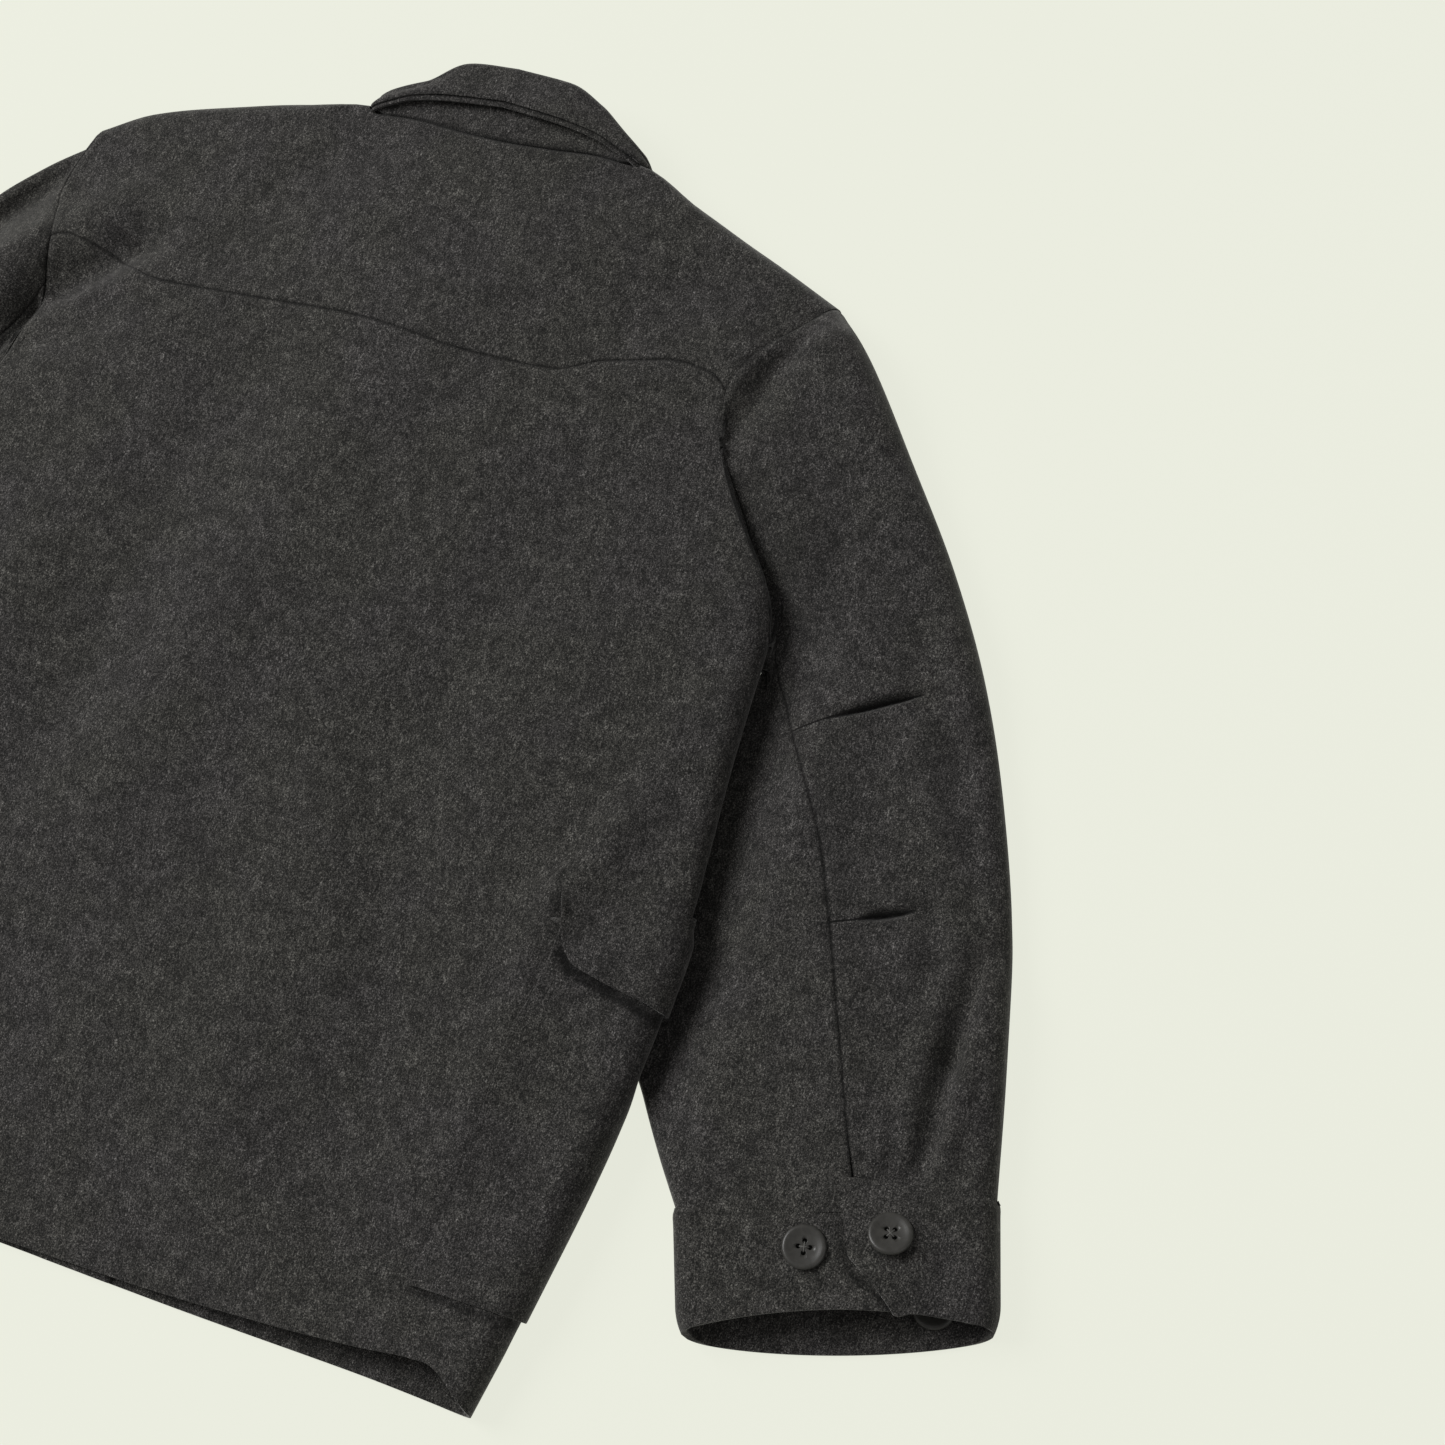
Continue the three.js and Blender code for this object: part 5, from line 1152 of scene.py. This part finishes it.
# The doubled edge
downward = fall_points[0] - fall_points[2]
downward /= np.linalg.norm(downward, axis=-1, keepdims=True)
edge_part = np.exp(-((from_edge(fall_points, "low") / 5.0) ** 2))[..., None]
over_points = fall_points - downward * EDGE_BACK * edge_part
under_points = fall_points + downward * EDGE_OUT * edge_part
over_edge, under_edge = from_edge(over_points, "low"), from_edge(under_points, "low")
over_sunk = 0.7 * np.exp(-((over_edge / 0.8) ** 2))
under_sunk = UNDER_FALL + 0.6 * np.exp(-((under_edge / 1.0) ** 2))
over_fall = over_points - outward(over_points) * over_sunk[..., None]
under_fall = under_points - outward(under_points) * under_sunk[..., None]
UNDER_ROWS_KEPT = 12     # the lower layer is made near the edge only
under_shown = plain(under_fall[:UNDER_ROWS_KEPT])
# painted shade on the lower layer: deepest just under the upper layer's edge, and some all over
from_over = under_edge[:UNDER_ROWS_KEPT] - EDGE_BACK - EDGE_OUT
under_shown[..., 3] = 0.65 * np.exp(-((from_over / 0.9) ** 2)) + 0.25
cloth(
    "collar_fall_cloth", plain(over_fall), under_shown, flat=(0.58, 0.055), area=0.027,
    lies_on=["collar_stand_cloth", "shoulder_yoke"], thickness=FALL_THICK / 2, replaces="collar_fall",
)

# The pockets
# Patch pockets of the same cloth, sewn on so that each starts on the front and wraps round the side fold on
# to the back. The bottom edge stands a little proud.
POCKET_FOOT = 1.2        # the bottom edge stands away by this much more
WRAP_IN = 71.0           # the pockets and flaps reach this far in on the front
FLAP_EDGE = [(203, -461.5), (212, -468), (229, -472.3), (251, -476.5), (263, -480.5), (285, -482)]
pocket_back = curve(POCKET_BACK)


def wrapped(side, y, left_x, spread, lift, foot):
    """Points laid on the body from a line on the back, round the side fold and in on the front.

    lift is how far they stand off the body, and foot how much more on the back, up to the side fold.
    """
    _, start, _, _, _, per_radian = section(side, y)
    distance = mix(left_x - start, math.pi * per_radian + WRAP_IN, spread)
    x, z = body_point(side, y, distance)
    points = np.stack([x, y, z], axis=-1)
    foot = foot * (1 - smooth((distance + 22) / 20))
    points = points + outward(points) * ((lift + foot)[..., None] * (1 if side > 0 else -1))
    points[..., 2] = np.maximum(points[..., 2], 0)
    return points


for side, name in SIDES:
    rows = close_ends(POCKET_TOP - POCKET_BOTTOM, 3.5)[:, None]
    spread = close_ends(170, 3.0)[None]
    y = mix(POCKET_BOTTOM, POCKET_TOP, rows) + 0 * spread
    shift = only_left(side, LEFT_POCKET_OUT)
    foot = POCKET_FOOT * (1 - smooth((y - POCKET_BOTTOM) / 12))
    grid = wrapped(side, y, pocket_back(y) + shift, spread, LAYER + 0 * y, foot)
    # painted shade on the pocket under the flap's lower edge
    shown = shaded(plain(face_out(side, grid)), side, shift, (FLAP_EDGE, 3.9, 1.25))
    cloth(
        f"pocket_{name}_cloth", shown, flat=(0.175, 0.202), area=0.0345,
        lies_on=["back_panel", f"front_panel_{name}"], replaces=f"pocket_{name}",
    )

# The flaps
# One flap of melton over each pocket's mouth, sewn on along its upper edge. Its back corner is rounded off at
# a slant, and its lower edge stands away from the pocket.
FLAP_LOW = [
    (198, -443), (200, -451), (203, -457), (207, -461.5), (212, -465), (229, -469), (251, -472.5),
    (263, -475), (300, -475),
]
FLAP_BACK, FLAP_SLANT, SIDE_X = 193.0, 5.0, 263.0
FLAP_FOOT = 5.0          # the lower edge stands off the pocket by this much
flap_low = curve(FLAP_LOW)
for side, name in SIDES:
    rows = close_ends(50, 2.0)[:, None]
    spread = close_ends(170, 2.2)[None]
    shift = only_left(side, LEFT_POCKET_OUT)
    left = FLAP_BACK + FLAP_SLANT * (1 - rows) + shift + 0 * spread
    reach = left + (SIDE_X + shift - left) * np.clip(spread * 2.4, 0, 1)
    y = mix(flap_low(reach - shift), FLAP_TOP, rows)
    lift = LAYER * (1 + smooth((FLAP_TOP - 4 - y) / 12)) + 0 * y
    foot = FLAP_FOOT * (1 - smooth(rows / 0.6)) * (0.15 + 0.85 * smooth(spread / 0.2))
    grid = wrapped(side, y, left, spread, lift, foot)
    flap = cloth(
        f"flap_{name}_cloth", plain(face_out(side, grid)), flat=(0.18, 0.055), area=0.0092,
        lies_on=[f"pocket_{name}_cloth", "back_panel", f"front_panel_{name}"], replaces=f"flap_{name}",
    )
    # its cut corner runs into its end in one line, where a rounding would leave a spike
    flap.modifiers.remove(flap.modifiers["soft_edges"])

# The buttons
# Dished four-hole buttons of dark horn-like plastic, 23 mm across, with a raised rim, each sewn on with dark
# thread crossed through its holes.
BUTTON_RADIUS, BUTTON_THICK = 11.7, 3.4
HOLE_RADIUS, HOLE_OUT = 1.3, 3.1
THREAD_RADIUS, THREAD_LONG, THREAD_HIGH = 0.42, 5.2, 2.25
horn = bpy.data.materials.new("dark_horn_button")
horn.use_nodes = True
horn_nodes, horn_links = horn.node_tree.nodes, horn.node_tree.links
shiny = horn_nodes["Principled BSDF"]
shiny.inputs["Roughness"].default_value = 0.4
shiny.inputs["Specular IOR Level"].default_value = 0.3
shiny.inputs["Coat Weight"].default_value = 0.08
shiny.inputs["Coat Roughness"].default_value = 0.2
horn_where = horn_nodes.new("ShaderNodeTexCoord")
streak = horn_nodes.new("ShaderNodeTexNoise")
streak.inputs["Scale"].default_value = 160
streak.inputs["Detail"].default_value = 3
streak.inputs["Distortion"].default_value = 1.5
horn_shades = horn_nodes.new("ShaderNodeValToRGB")
horn_shades.color_ramp.elements[0].color = (0.018, 0.0174, 0.0156, 1)
horn_shades.color_ramp.elements[1].color = (0.050, 0.0482, 0.0436, 1)
horn_links.new(horn_where.outputs["Object"], streak.inputs["Vector"])
horn_links.new(streak.outputs["Fac"], horn_shades.inputs["Fac"])
horn_links.new(horn_shades.outputs["Color"], shiny.inputs["Base Color"])
thread = bpy.data.materials.new("black_thread")
thread.use_nodes = True
spun = thread.node_tree.nodes["Principled BSDF"]
spun.inputs["Base Color"].default_value = (0.075, 0.073, 0.067, 1)
spun.inputs["Roughness"].default_value = 0.8

bm = bmesh.new()
profile = [(0.0, 0.0), (10.0, 0.0), (11.1, 0.4), (11.6, 1.2), (BUTTON_RADIUS, 2.0), (11.4, 2.7), (10.8, 3.15),
           (10.0, 3.3), (9.0, 3.15), (7.8, 2.8), (6.2, 2.45), (3.5, 2.3), (0.0, 2.3)]
verts = [bm.verts.new((r * MM, 0, z * MM)) for r, z in profile]
edges = [bm.edges.new(pair) for pair in zip(verts, verts[1:])]
bmesh.ops.spin(
    bm, geom=verts + edges, cent=(0, 0, 0), axis=(0, 0, 1), angle=2 * math.pi, steps=48, use_merge=True
)
bmesh.ops.remove_doubles(bm, verts=bm.verts, dist=1e-6)
bmesh.ops.recalc_face_normals(bm, faces=bm.faces)
button_mesh = bpy.data.meshes.new("button")
bm.to_mesh(button_mesh)
bm.free()


def rod(bm, segments, radius, length):
    """A round rod's vertices, for a drilled hole or a length of thread."""
    made = bmesh.ops.create_cone(
        bm, cap_ends=True, segments=segments, radius1=radius * MM, radius2=radius * MM, depth=length * MM
    )
    return made["verts"]


holes = bmesh.new()
for quarter in range(4):
    angle = math.pi / 4 + quarter * math.pi / 2
    place = (HOLE_OUT * MM * math.cos(angle), HOLE_OUT * MM * math.sin(angle), 2 * MM)
    bmesh.ops.translate(holes, verts=rod(holes, 14, HOLE_RADIUS, 8), vec=place)
hole_mesh = bpy.data.meshes.new("holes")
holes.to_mesh(hole_mesh)
holes.free()
blank = bpy.data.objects.new("button_blank", button_mesh)
drill = bpy.data.objects.new("button_drill", hole_mesh)
for helper in (blank, drill):
    bpy.context.collection.objects.link(helper)
cut = blank.modifiers.new("holes", "BOOLEAN")
cut.object = drill
cut.solver = "EXACT"
drilled = bpy.data.meshes.new_from_object(blank.evaluated_get(bpy.context.evaluated_depsgraph_get()))
for helper in (blank, drill):
    bpy.data.objects.remove(helper)
drilled.materials.clear()
drilled.materials.append(horn)
drilled.materials.append(thread)


def button(name, middle, facing, spin):
    """Sews one button on: its back at middle, its face turned the way that facing points."""
    bm = bmesh.new()
    bm.from_mesh(drilled)
    for turn in (0, math.pi / 2):
        length = rod(bm, 8, THREAD_RADIUS, THREAD_LONG)
        lay = Matrix.Rotation(math.pi / 4 + turn, 4, "Z") @ Matrix.Rotation(math.pi / 2, 4, "Y")
        bmesh.ops.transform(bm, matrix=Matrix.Translation((0, 0, THREAD_HIGH * MM)) @ lay, verts=length)
        for face in {face for vert in length for face in vert.link_faces}:
            face.material_index = 1
    for face in bm.faces:
        face.smooth = True
    place = (np.array(middle) - LAID_MIDDLE) * MM
    faced = Vector(facing).to_track_quat("Z", "Y").to_matrix().to_4x4() @ Matrix.Rotation(spin, 4, "Z")
    bmesh.ops.transform(bm, matrix=Matrix.Translation(Vector(place)) @ faced, verts=bm.verts)
    mesh = drilled.copy()
    mesh.name = name
    bm.to_mesh(mesh)
    bm.free()
    piece = bpy.data.objects.new(name, mesh)
    bpy.context.collection.objects.link(piece)
    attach(piece, "root")
    return piece


for side, name in SIDES:
    for which, part, share, c, lift, facing in (
        ("under", "top", 0.36, 99.0, 0, (0.1 * side, 0.08, 1.0)),
        ("over", "over", 0.415, 54.0, OVERLAP_LIFT + 0.8, (0.02 * side, 0.36, 1.0)),
    ):
        at = cuff_points(side, np.array(share), np.array(c), part)
        at[2] = SLEEVE_HEIGHT + CUFF_PROUD + 0.4 + lift
        sewn = button(f"button_{which}_{name}", at, facing, 0.3)
        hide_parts(f"cuff_button_{which}_{name}")
    at = cuff_points(side, np.array(0.88), np.array(34.0), "top")
    at[2] = CUFF_THICK + LIE_GAP
    sewn = button(f"button_inside_{name}", at, (0, 0, 1), 0.8)
    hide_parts(f"cuff_button_inside_{name}")
for number, y in enumerate((-118, -232, -346, -460, -574), 1):
    sewn = button(f"button_front_{number}", (CENTRE, y, BUTTON_THICK), (0, 0, -1), 0.2 * number)
    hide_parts(f"front_button_{number}")
